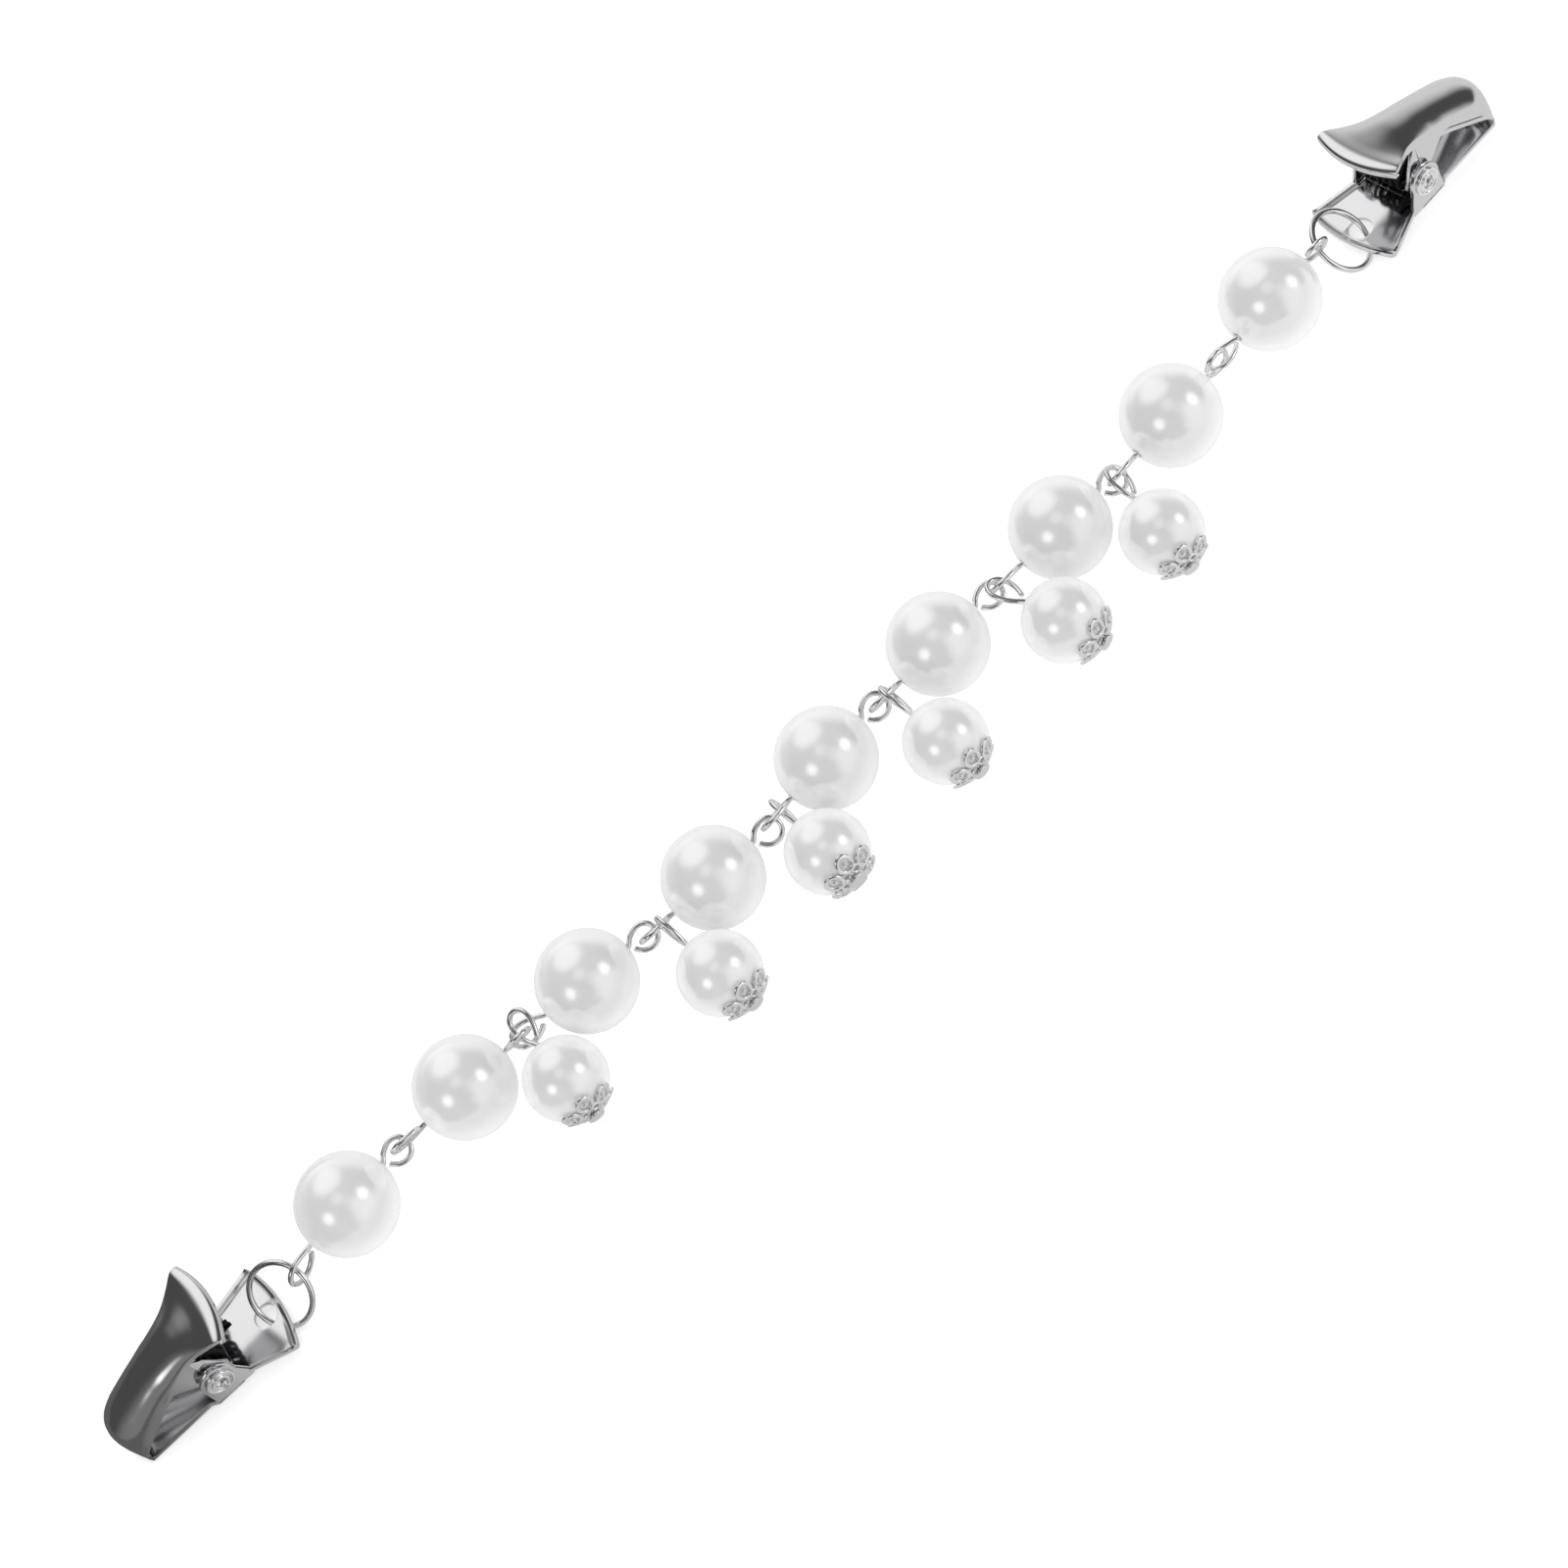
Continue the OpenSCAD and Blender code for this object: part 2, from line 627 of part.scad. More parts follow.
// The ring in the tail's own frame; the left clip's ring is the mirror image
module ring(side) {
    way = side == "left" ? -1 : 1;
    turn = ring_turn - (side == "left" ? left_heading : right_heading);
    run = ring_half_chord * [-cos(turn), -sin(turn)];
    rise = ring_r - ring_dip;
    lean = rise * cos(ring_slope) * [-sin(turn), cos(turn)];
    color(bright) at_clip(side) in_tail() translate([-hole_run, 0, sheet / 2])
        mirror([0, way < 0 ? 1 : 0, 0])
        translate([run.x + lean.x + ring_pull, run.y + lean.y, rise * sin(ring_slope)])
            rotate([ring_slope, 0, turn])
                rotate_extrude() translate([ring_r, 0]) circle(d = ring_wire);
}

upper_jaw("left");  // left_upper_jaw
lower_jaw("left");  // left_lower_jaw
rivet("left");  // left_rivet
spring("left");  // left_spring
ring("left");  // left_ring
upper_jaw("right");  // right_upper_jaw
lower_jaw("right");  // right_lower_jaw
rivet("right");  // right_rivet
spring("right");  // right_spring
ring("right");  // right_ring
for (i = [1:len(PEARLS)]) pearl(i);
for (i = [1:len(PEARLS)]) eye_pin(i);
for (i = [1:len(DROPS)]) drop_pearl(i);
for (i = [1:len(DROPS)]) drop_pin(i);
for (i = [1:len(DROPS)]) bead_cap(i);
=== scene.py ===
# %% [markdown]
# # A pearl sweater clip
# A sweater clip holds the two fronts of a cardigan together. It is a row of pearl beads on linked
# eye pins, with small pearl drops hooked between them, and at each end a ring and a sprung metal
# clip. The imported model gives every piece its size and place. This lesson dresses it: smoother
# wire, pressed sheet with rounded edges, lace bead caps, and the finishes of pearl and plated metal.

import json
import math

import bmesh
import bpy
import numpy as np
from mathutils import Matrix, Vector


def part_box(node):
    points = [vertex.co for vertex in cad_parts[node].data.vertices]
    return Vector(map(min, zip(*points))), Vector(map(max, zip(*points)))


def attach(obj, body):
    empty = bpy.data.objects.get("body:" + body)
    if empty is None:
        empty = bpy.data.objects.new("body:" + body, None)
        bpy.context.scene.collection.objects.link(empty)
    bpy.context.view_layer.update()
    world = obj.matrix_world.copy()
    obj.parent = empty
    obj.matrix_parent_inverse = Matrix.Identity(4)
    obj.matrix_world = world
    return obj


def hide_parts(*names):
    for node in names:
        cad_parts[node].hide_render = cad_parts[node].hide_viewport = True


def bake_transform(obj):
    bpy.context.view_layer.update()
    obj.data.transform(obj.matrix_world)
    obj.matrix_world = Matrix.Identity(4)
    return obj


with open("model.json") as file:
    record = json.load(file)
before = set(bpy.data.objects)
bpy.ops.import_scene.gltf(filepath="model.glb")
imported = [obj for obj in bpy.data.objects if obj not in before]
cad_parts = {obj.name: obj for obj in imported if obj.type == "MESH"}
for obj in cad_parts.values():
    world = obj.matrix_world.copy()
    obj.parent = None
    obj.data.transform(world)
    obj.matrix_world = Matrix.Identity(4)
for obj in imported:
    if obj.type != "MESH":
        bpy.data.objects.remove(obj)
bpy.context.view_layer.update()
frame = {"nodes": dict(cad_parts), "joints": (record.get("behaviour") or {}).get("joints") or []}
MM = 0.001
SIDES = ("left", "right")
print("nodes in the model:", len(frame["nodes"]))

# %% [markdown]
# The camera looks at the row from the front, 54 degrees above the table and a little from the
# left, and it is rolled so that the row climbs from the lower left to the upper right. Three angles
# could say this too, but directions show the roll more plainly: which way is right in the picture,
# which way is up in it, and the way back towards the camera, which is square to both.

# %% Camera
RIGHT = Vector((0.7162, -0.5918, -0.3699))
UP = Vector((0.6949, 0.5554, 0.4568))
TOWARDS_CAMERA = RIGHT.cross(UP).normalized()
AIM = Vector((-3.878, 7.080, 0)) * MM
CAMERA_AWAY = 320
# half the width of a 1600 pixel picture, and the lens's distance from it in the same pixels
HALF_PICTURE, LENS = 800, 3392


def new_object(name, data):
    """An object with this data, put in the scene."""
    made = bpy.data.objects.new(name, data)
    bpy.context.collection.objects.link(made)
    return made


camera = new_object("camera", bpy.data.cameras.new("camera"))
camera.data.angle = 2 * math.atan(HALF_PICTURE / LENS)
camera.data.clip_start = 0.01
turn = Matrix((RIGHT, UP, TOWARDS_CAMERA)).transposed().to_4x4()
camera.matrix_world = Matrix.Translation(AIM + TOWARDS_CAMERA * CAMERA_AWAY * MM) @ turn
bpy.context.scene.camera = camera
print("camera at", [round(v / MM, 1) for v in camera.location])

# %% [markdown]
# ## Small tools
# Every piece here is a surface through a grid of points, a wire along a line of points, or a shape
# turned on a lathe. All start as plain lists of points and faces. Making them in code keeps the
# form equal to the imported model, which a hand-placed mesh would not.

# %% Mesh helpers
def add_mesh(name, points, faces):
    """A new smooth object from points in millimetres."""
    mesh = bpy.data.meshes.new(name)
    mesh.from_pydata([tuple(c * MM for c in p) for p in points], [], faces)
    mesh.polygons.foreach_set("use_smooth", [True] * len(mesh.polygons))
    mesh.update()
    return new_object(name, mesh)


def face_outwards(piece):
    """Turns every face of a closed mesh to look outwards."""
    bm = bmesh.new()
    bm.from_mesh(piece.data)
    bmesh.ops.recalc_face_normals(bm, faces=bm.faces)
    bm.to_mesh(piece.data)
    bm.free()
    return piece


def joined(name, pieces):
    """One object from several."""
    bm = bmesh.new()
    for piece in pieces:
        bm.from_mesh(piece.data)
        bpy.data.objects.remove(piece)
    mesh = bpy.data.meshes.new(name)
    bm.to_mesh(mesh)
    bm.free()
    return new_object(name, mesh)


def copies_of(pattern, name, places):
    """A numbered copy of the pattern at each place. The pattern itself goes."""
    made = []
    for i, place in enumerate(places, 1):
        mesh = pattern.data.copy()
        mesh.transform(place)
        made.append(new_object(f"{name}_{i}", mesh))
    bpy.data.objects.remove(pattern)
    return made


def dress(piece, body, node, material):
    """Gives a finished piece its material, puts it on its body and hides the node it stands for."""
    piece.data.materials.clear()
    piece.data.materials.append(material)
    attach(piece, body)
    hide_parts(node)
    return piece


print("mesh helpers ready")

# %% Round wire along a line
# the cut ends' last hoops: the share of the wire's radius, and how far past the end, in radii
CUT_END = ((0.86, 0.1), (0.45, 0.22))


def evened(points, step=0.12, passes=2):
    """The line again at even steps, its sharp corners eased as a bending tool leaves them."""
    points = np.asarray(points, float)
    run = np.r_[0, np.cumsum(np.linalg.norm(np.diff(points, axis=0), axis=1))]
    where = np.linspace(0, run[-1], max(int(run[-1] / step), 8))
    line = np.stack([np.interp(where, run, points[:, k]) for k in range(3)], axis=1)
    for _ in range(passes):
        line[1:-1] = line[1:-1] / 2 + (line[:-2] + line[2:]) / 4
    return line


def tube_faces(hoops, sides, closed):
    """The faces of a tube whose points come hoop by hoop."""
    faces = []
    for k in range(hoops if closed else hoops - 1):
        here, there = k * sides, (k + 1) % hoops * sides
        for s in range(sides):
            after = (s + 1) % sides
            faces.append((here + s, here + after, there + after, there + s))
    return faces


def wire(name, line, radius, sides=14, closed=False):
    """A round wire along a line, with softly rounded cut ends unless it is closed."""
    line = np.asarray(line, float)
    way = np.roll(line, -1, axis=0) - np.roll(line, 1, axis=0) if closed else np.gradient(line, axis=0)
    way /= np.linalg.norm(way, axis=1)[:, None]
    hoops = [(centre, ahead, radius) for centre, ahead in zip(line, way)]
    if not closed:
        for share, past in CUT_END:
            hoops.insert(0, (line[0] - way[0] * radius * past, way[0], radius * share))
            hoops.append((line[-1] + way[-1] * radius * past, way[-1], radius * share))
    across = np.cross(way[0], [0.3, 0.2, 0.93])
    points = []
    for centre, ahead, r in hoops:
        # carried along from hoop to hoop, so that the tube doesn't twist
        across = across - ahead * np.dot(across, ahead)
        across /= np.linalg.norm(across)
        other = np.cross(ahead, across)
        for s in range(sides):
            a = 2 * math.pi * s / sides
            points.append(centre + r * (math.cos(a) * across + math.sin(a) * other))
    faces = tube_faces(len(hoops), sides, closed)
    if not closed:
        faces += [tuple(range(sides))[::-1], tuple(range((len(hoops) - 1) * sides, len(points)))]
    return add_mesh(name, points, faces)


print("wire helper ready")

# %% A shape turned on a lathe
ON_AXIS = 1e-4


def turned(name, profile, segments=96):
    """A closed shape from a profile of (radius, height). A point at radius ON_AXIS closes an end."""
    n = len(profile)
    points, faces = [], []
    for s in range(segments):
        a = 2 * math.pi * s / segments
        points += [(r * math.cos(a), r * math.sin(a), h) for r, h in profile]
        here, there = s * n, (s + 1) % segments * n
        for k in range(n):
            after = (k + 1) % n
            if not profile[k][0] == profile[after][0] == ON_AXIS:
                faces.append((here + k, there + k, there + after, here + after))
    return add_mesh(name, points, faces)


print("lathe helper ready")

# %% [markdown]
# ## Finishes
# Plated metal is never quite clean: it has fine rubbing marks, faint dents from the press and a few
# specks. The metals share this wear, so it is one node group with its own values in each. The
# group gives a roughness and a height, and each metal keeps its own shader.

# %% Node helpers
def math_node(tree, operation, *values):
    """A Math node. Each value is a number or another node's socket."""
    node = tree.nodes.new("ShaderNodeMath")
    node.operation = operation
    for socket, value in zip(node.inputs, values):
        if isinstance(value, (int, float)):
            socket.default_value = value
        else:
            tree.links.new(value, socket)
    return node.outputs[0]


def noise(tree, scale, detail=3, roughness=0.5, stretch=(1, 1, 1)):
    """Noise that is fixed to the object."""
    where = tree.nodes.new("ShaderNodeTexCoord")
    mapping = tree.nodes.new("ShaderNodeMapping")
    mapping.inputs["Scale"].default_value = stretch
    tree.links.new(where.outputs["Object"], mapping.inputs["Vector"])
    texture = tree.nodes.new("ShaderNodeTexNoise")
    texture.inputs["Scale"].default_value = scale
    texture.inputs["Detail"].default_value = detail
    texture.inputs["Roughness"].default_value = roughness
    tree.links.new(mapping.outputs[0], texture.inputs["Vector"])
    return texture.outputs["Fac"]


def ramp(tree, factor, stops, interpolation="LINEAR"):
    """A colour ramp through stops of (position, colour), driven by a socket."""
    node = tree.nodes.new("ShaderNodeValToRGB")
    node.color_ramp.interpolation = interpolation
    for k, (position, colour) in enumerate(stops):
        # a new ramp has two stops
        stop = node.color_ramp.elements[k] if k < 2 else node.color_ramp.elements.new(position)
        stop.position = position
        stop.color = (*colour, 1)
    tree.links.new(factor, node.inputs["Fac"])
    return node.outputs["Color"]


def bumped(tree, height, depth, shader):
    """Bumps a shader by a height from 0 to 1, with a depth in millimetres."""
    bump = tree.nodes.new("ShaderNodeBump")
    bump.inputs["Strength"].default_value = 1
    bump.inputs["Distance"].default_value = depth * MM
    tree.links.new(height, bump.inputs["Height"])
    tree.links.new(bump.outputs["Normal"], shader.inputs["Normal"])


print("node helpers ready")

# %% Plate wear, shared by the metals
HAZE_SHARE = 0.7
SPECK_ABOVE, SPECK_ROUGHNESS, SPECK_DEPTH = 0.82, 0.25, 0.02

wear = bpy.data.node_groups.new("plate_wear", "ShaderNodeTree")
for label, value in (("Gloss", 0.1), ("Rubbing", 0.1), ("Dents", 0.3)):
    socket = wear.interface.new_socket(label, in_out="INPUT", socket_type="NodeSocketFloat")
    socket.default_value = value
for label in ("Roughness", "Height"):
    wear.interface.new_socket(label, in_out="OUTPUT", socket_type="NodeSocketFloat")
given = wear.nodes.new("NodeGroupInput").outputs
result = wear.nodes.new("NodeGroupOutput").inputs

rub = noise(wear, 2600, 4, 0.6, stretch=(1, 0.18, 1))
cloud = noise(wear, 420, 3, 0.55)
speck = math_node(wear, "GREATER_THAN", noise(wear, 3400, 1, 0.4), SPECK_ABOVE)
dent = noise(wear, 160, 2, 0.45)

marks = math_node(wear, "MULTIPLY", rub, given["Rubbing"])
haze = math_node(wear, "MULTIPLY", cloud, math_node(wear, "MULTIPLY", given["Rubbing"], HAZE_SHARE))
rough = math_node(wear, "ADD", given["Gloss"], math_node(wear, "ADD", marks, haze))
rough = math_node(wear, "ADD", rough, math_node(wear, "MULTIPLY", speck, SPECK_ROUGHNESS))
wear.links.new(rough, result["Roughness"])
height = math_node(wear, "MULTIPLY", dent, given["Dents"])
height = math_node(wear, "SUBTRACT", height, math_node(wear, "MULTIPLY", speck, SPECK_DEPTH))
wear.links.new(height, result["Height"])
print("plate wear:", len(wear.nodes), "nodes")

# %% [markdown]
# The metals differ in colour, gloss and wear. The wire, rings, rivets and caps are bright silver
# plate, and the pressed clips are a darker nickel plate. The spring is bare dark steel made near
# black, which is partly painted shade for the dark inside the clip. All are full metals, so their
# look is mostly what they mirror.

# %% Metals
def plated(name, colour, gloss, rubbing, dents, depth):
    """A metal finish with plate wear. depth is the height of the dents in millimetres."""
    material = bpy.data.materials.new(name)
    material.use_nodes = True
    tree = material.node_tree
    shader = tree.nodes["Principled BSDF"]
    shader.inputs["Base Color"].default_value = (*colour, 1)
    shader.inputs["Metallic"].default_value = 1
    group = tree.nodes.new("ShaderNodeGroup")
    group.node_tree = wear
    group.inputs["Gloss"].default_value = gloss
    group.inputs["Rubbing"].default_value = rubbing
    group.inputs["Dents"].default_value = dents
    tree.links.new(group.outputs["Roughness"], shader.inputs["Roughness"])
    bumped(tree, group.outputs["Height"], depth, shader)
    return material


silver_wire = plated("silver_wire", (0.88, 0.88, 0.89), 0.09, 0.08, 0.15, 0.02)
silver_trim = plated("silver_trim", (0.95, 0.95, 0.955), 0.10, 0.08, 0.25, 0.03)
clip_plate = plated("clip_plate", (0.78, 0.78, 0.79), 0.10, 0.03, 0.3, 0.05)
# the spring's dark steel is made near black: partly its own colour, partly painted shade for the clip's
# inside
spring_wire = plated("spring_wire", (0.035, 0.035, 0.04), 0.42, 0.20, 0.2, 0.03)
print("metals:", silver_wire.name, silver_trim.name, clip_plate.name, spring_wire.name)

# %% [markdown]
# An imitation pearl is a round bead under many thin coats of pearl essence. It scatters light
# inside, which makes it white, and it mirrors the lights softly from the coats. A high index of
# refraction with some roughness gives that soft mirror. Very faint clouds change the colour and the
# gloss, as thicker and thinner coats do. Towards a bead's rim a faint emission paints a glow, a
# painted highlight that keeps the rim pale.

# %% Pearl
PEARL_DIM, PEARL_WHITE = (0.84, 0.84, 0.84), (0.88, 0.88, 0.875)
# the painted rim glow: no emission at the bead's middle, this much grey at its rim
NO_PAINTED_GLOW, PAINTED_RIM_GLOW = (0, 0, 0), (0.10, 0.10, 0.10)

pearl_finish = bpy.data.materials.new("pearl_finish")
pearl_finish.use_nodes = True
tree = pearl_finish.node_tree
shader = tree.nodes["Principled BSDF"]
clouds = noise(tree, 210, 3, 0.55)
tint = ramp(tree, clouds, [(0.2, PEARL_DIM), (0.8, PEARL_WHITE)], "EASE")
tree.links.new(tint, shader.inputs["Base Color"])
tree.links.new(math_node(tree, "MULTIPLY_ADD", clouds, 0.05, 0.15), shader.inputs["Roughness"])
shader.inputs["IOR"].default_value = 2.9
# painted highlight: an emission that grows towards the bead's rim paints a faint glow there
rim = tree.nodes.new("ShaderNodeLayerWeight")
rim.inputs["Blend"].default_value = 0.5
painted_glow = ramp(tree, rim.outputs["Facing"], [(0.25, NO_PAINTED_GLOW), (0.55, PAINTED_RIM_GLOW)])
tree.links.new(painted_glow, shader.inputs["Emission Color"])
shader.inputs["Emission Strength"].default_value = 1
bumped(tree, noise(tree, 900, 2, 0.5), 0.01, shader)
print("pearl:", len(tree.nodes), "nodes")

# %% [markdown]
# ## Pearls
# Each bead is a turned shape: a sphere with a bore whose mouth is slightly rounded by the coating.
# The nine in the row are copies of one pattern and the six drops of another. Each goes where its
# node is, with the bore along its pin. The headings and rolls are those the model was drawn with.

# %% Where the beads lie
PEARL_R, DROP_R, BORE_R = 5.0, 4.1, 0.5
# heading of the pin, roll of its left loop, roll of its right loop
ROW = [
    (5, 90, 25),
    (-2, -65, -60),
    (-6, 15, 25),
    (-3, -50, 40),
    (5, -50, 30),
    (1, -60, 15),
    (-1, -55, 30),
    (5, -55, -85),
    (6, -15, -70),
]
# height of the hook above the row's middle, heading of the pin, roll of its loop
DROPS = [
    (1.65, 86, -25),
    (0.95, 95, 95),
    (-0.75, 91, 75),
    (1.25, 94, 70),
    (1.1, 106, 20),
    (1.4, 81, 45),
]
DROP_LOOP_LENGTH = 4.2


def turned_by(degrees, axis):
    """A turn about an axis, as a matrix."""
    return Matrix.Rotation(math.radians(degrees), 4, axis)


def middle(node):
    """The middle of a node's box."""
    low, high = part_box(node)
    return (low + high) / 2


def row_place(i):
    """Puts a piece made along X at the origin on pearl i."""
    return Matrix.Translation(middle(f"pearl_{i}")) @ turned_by(ROW[i - 1][0], "Z")


def drop_place(i):
    """The same for drop i, whose pin also rises from the table to its hook."""
    height, heading, _ = DROPS[i - 1]
    rise = math.asin((PEARL_R + height - DROP_R) / (DROP_R + DROP_LOOP_LENGTH))
    spin = turned_by(heading, "Z") @ Matrix.Rotation(-rise, 4, "Y")
    return Matrix.Translation(middle(f"drop_pearl_{i}")) @ spin


ROW_PLACES = [row_place(i) for i in range(1, len(ROW) + 1)]
DROP_PLACES = [drop_place(i) for i in range(1, len(DROPS) + 1)]
print("first pearl at", [round(v / MM, 2) for v in middle("pearl_1")])

# %% Pearl beads
LIP = 0.16
LIP_TURNS = (0.35, 0.8, 1.25)


def bead(radius):
    """A drilled bead with its bore along X and the lips of the bore rounded."""
    start = math.asin((BORE_R + LIP) / radius)
    outside = [
        (radius * math.sin(a), radius * math.cos(a)) for a in np.linspace(start, math.pi - start, 60)
    ]
    mouth = outside[0][1]
    lip = [(BORE_R + LIP * (1 - math.sin(t)), mouth - LIP * (1 - math.cos(t))) for t in LIP_TURNS]
    bore = [(BORE_R, 0.5 - radius), (BORE_R, radius - 0.5)]
    piece = turned("pattern", outside + [(r, -h) for r, h in lip] + bore + lip[::-1])
    piece.data.transform(turned_by(90, "Y"))
    return face_outwards(piece)


for name, node, radius, places in (
    ("row_bead", "pearl", PEARL_R, ROW_PLACES),
    ("drop_bead", "drop_pearl", DROP_R, DROP_PLACES),
):
    beads = copies_of(bead(radius), name, places)
    for i, piece in enumerate(beads, 1):
        dress(piece, "chain", f"{node}_{i}", pearl_finish)
    print(name, "beads:", len(beads))

# %% [markdown]
# ## Eye pins and drop pins
# An eye pin is one wire through the bead with a loop bent at each end. The same rule as in the
# model gives the line of a loop: it leaves the bead as a stem, swells to its widest, and comes
# back to the bead with its cut end. A drop's pin has a loop at one end and a flat head at the other.

# %% The line of a bent loop
WIRE_R = 0.275
# length, half width, taper, angles where the bend starts and ends, shift aside
LEFT_LOOP = (4.0, 1.15, 0.7, 28, 318, 0.2)
RIGHT_LOOP = (3.1, 1.25, 0.35, 20, 329, 0.2)
DROP_LOOP = (DROP_LOOP_LENGTH, 1.15, 0.8, 31, 316, 0)
# the row's two end loops droop to their rings, and the left one is bent aside too
END_DROOP, END_ASIDE = 14, 12
# how far out the loop may come back to the bead, and over what length it shifts aside
LOOP_FROM, SHIFT_OVER = 0.2, 1.2


def loop_line(loop, bead_r, roll, way, droop=0, aside=0):
    """Points from inside the bead, round the loop and back to the bead."""
    length, half, taper, first, last, shift = loop
    widest = math.acos(-taper / (2 + taper))
    peak = math.sin(widest) * math.sin(widest / 2) ** taper
    angle = np.radians(np.linspace(first, last, 60))
    swell = np.sin(angle) * np.abs(np.sin(angle / 2)) ** taper / peak
    out = LOOP_FROM + (length - LOOP_FROM) * (1 - np.cos(angle)) / 2
    ease = np.clip(out / SHIFT_OVER, 0, 1)
    side = half * swell - shift * ease * ease * (3 - 2 * ease)
    out, side = np.r_[0.05, out], np.r_[0, side]
    d, r, a = math.radians(droop), math.radians(roll), math.radians(aside)
    lift, wide = side * math.sin(r), side * math.cos(r)
    away = way * (out * math.cos(d) + lift * math.sin(d))
    x = way * bead_r + away * math.cos(a) - wide * math.sin(a)
    y = away * math.sin(a) + wide * math.cos(a)
    line = np.stack([x, y, lift * math.cos(d) - out * math.sin(d)], axis=1)
    return np.vstack([[[way * (bead_r - 0.5), 0, 0]], line])


print("loop points:", len(loop_line(LEFT_LOOP, PEARL_R, 0, -1)))

# %% Eye pins
for i, (_, left_roll, right_roll) in enumerate(ROW, 1):
    first, last = i == 1, i == len(ROW)
    left = loop_line(
        LEFT_LOOP, PEARL_R, left_roll, -1, END_DROOP if first else 0, END_ASIDE if first else 0
    )
    right = loop_line(RIGHT_LOOP, PEARL_R, right_roll, 1, END_DROOP if last else 0)
    piece = wire(f"eye_wire_{i}", evened(np.vstack([left[::-1], right])), WIRE_R)
    piece.data.transform(ROW_PLACES[i - 1])
    dress(piece, "chain", f"eye_pin_{i}", silver_wire)
print("eye pins:", len(ROW))

# %% Drop pins
CAP_SEAT, CAP_SHEET = 0.05, 0.35
# the head lies on the bead cap, with a hair's breadth between them
HEAD_IN = DROP_R + CAP_SEAT + CAP_SHEET + 0.03
HEAD = [
    (ON_AXIS, 0.35), (0.5, 0.34), (0.74, 0.31), (0.86, 0.24),
    (0.9, 0.14), (0.86, 0.04), (0.78, 0.0), (ON_AXIS, 0),
]

for i, (_, _, roll) in enumerate(DROPS, 1):
    stem = [[-HEAD_IN - 0.17, 0, 0], [0, 0, 0]]
    line = np.vstack([stem, loop_line(DROP_LOOP, DROP_R, roll, 1)])
    shank = wire("shank", evened(line), WIRE_R)
    head = face_outwards(turned("head", [(r, h + HEAD_IN) for r, h in HEAD], 48))
    head.data.transform(turned_by(-90, "Y"))
    piece = joined(f"drop_wire_{i}", [shank, head])
    piece.data.transform(DROP_PLACES[i - 1])
    dress(piece, "chain", f"drop_pin_{i}", silver_wire)
print("drop pins:", len(DROPS))

# %% [markdown]
# ## Bead caps
# A bead cap is a stamped lace flower of six open petals that hugs the far end of a drop. Stamped
# lace looks like soldered wire, so each petal is a small ring of flattened wire with a grain in it.
# A smaller ring lies between each two petals, and a hub goes round the pin. The rings are drawn
# flat and then laid over the bead.

# %% Bead caps
PETALS = 6
CAP_R = 3.05
PETAL_R = 0.32 * CAP_R
# how far out the rings of one kind lie, their radius, half the width of their wire, half its height
PETAL = (CAP_R - PETAL_R, PETAL_R - 0.22, 0.22, CAP_SHEET / 2)
GRAIN = (CAP_R - PETAL_R, 0.13, 0.12, 0.15)
LINK = (1.12, 0.42, 0.16, CAP_SHEET / 2)
HUB = (0, 0.72, 0.24, CAP_SHEET / 2)
# the petals' tips lift off the bead: from where, and by how much at 1 mm further out
LIFT_FROM, LIFT = 2.0, 0.10


def over_bead(x, y, rise):
    """A point of a flat drawing, laid over the bead; rise is its height above the sheet's middle."""
    seat = DROP_R + CAP_SEAT + CAP_SHEET / 2
    out = math.hypot(x, y)
    normal = np.array([x, y, math.sqrt(max(seat**2 - out**2, 0.01))]) / seat
    return normal * (seat + rise) + np.array([0, 0, LIFT * max(out - LIFT_FROM, 0) ** 1.5])


def lace_ring(sizes, degrees=0):
    """A ring of flattened wire on the bead, at this angle round the cap."""
    out, radius, half_width, half_height = sizes
    middle_x, middle_y = out * math.cos(math.radians(degrees)), out * math.sin(math.radians(degrees))
    around, section = 36, 10
    points = []
    for k in range(around):
        a = 2 * math.pi * k / around
        for s in range(section):
            b = 2 * math.pi * s / section
            r = radius + half_width * math.cos(b)
            x, y = middle_x + r * math.cos(a), middle_y + r * math.sin(a)
            points.append(over_bead(x, y, half_height * math.sin(b)))
    return face_outwards(add_mesh("lace", points, tube_faces(around, section, closed=True)))


rings = [lace_ring(HUB)]
for petal in range(PETALS):
    angle = 360 * petal / PETALS
    rings += [lace_ring(PETAL, angle), lace_ring(GRAIN, angle), lace_ring(LINK, angle + 180 / PETALS)]
caps = copies_of(joined("pattern", rings), "cap", [place @ turned_by(-90, "Y") for place in DROP_PLACES])
for i, piece in enumerate(caps, 1):
    dress(piece, "chain", f"bead_cap_{i}", silver_trim)
print("cap faces:", len(caps[0].data.polygons))

# %% [markdown]
# ## Clips
# Both clips are the same pressing, turned round. Each is made once in its own frame, with the
# pivot at the origin and the nose along +X, and then placed at its hinge. The clip lies with its
# nose down and its tail on the ring, so it tilts by a few degrees.

# %% A clip's own frame
SHEET = 0.4
# jaws: reach of the nose, its half width and bow, and how far the lower plate lies under the pivot
JAW, NOSE_HALF, NOSE_BOW, DROP = 10.4, 3.5, 1.2, 3.0
# tail: where the fold is, where the tail ends, its half width, its bow and its bend
FOLD, TAIL, TAIL_HALF, TAIL_BOW, BEND = 2.1, 7.0, 5.35, 0.9, math.radians(4)
HOLE_AT, HOLE_R = 6.1, 1.2
# the lower ears: their radius round the pivot, and where their outer faces stand
EAR_R, EAR_OUT = 1.9, 3.85
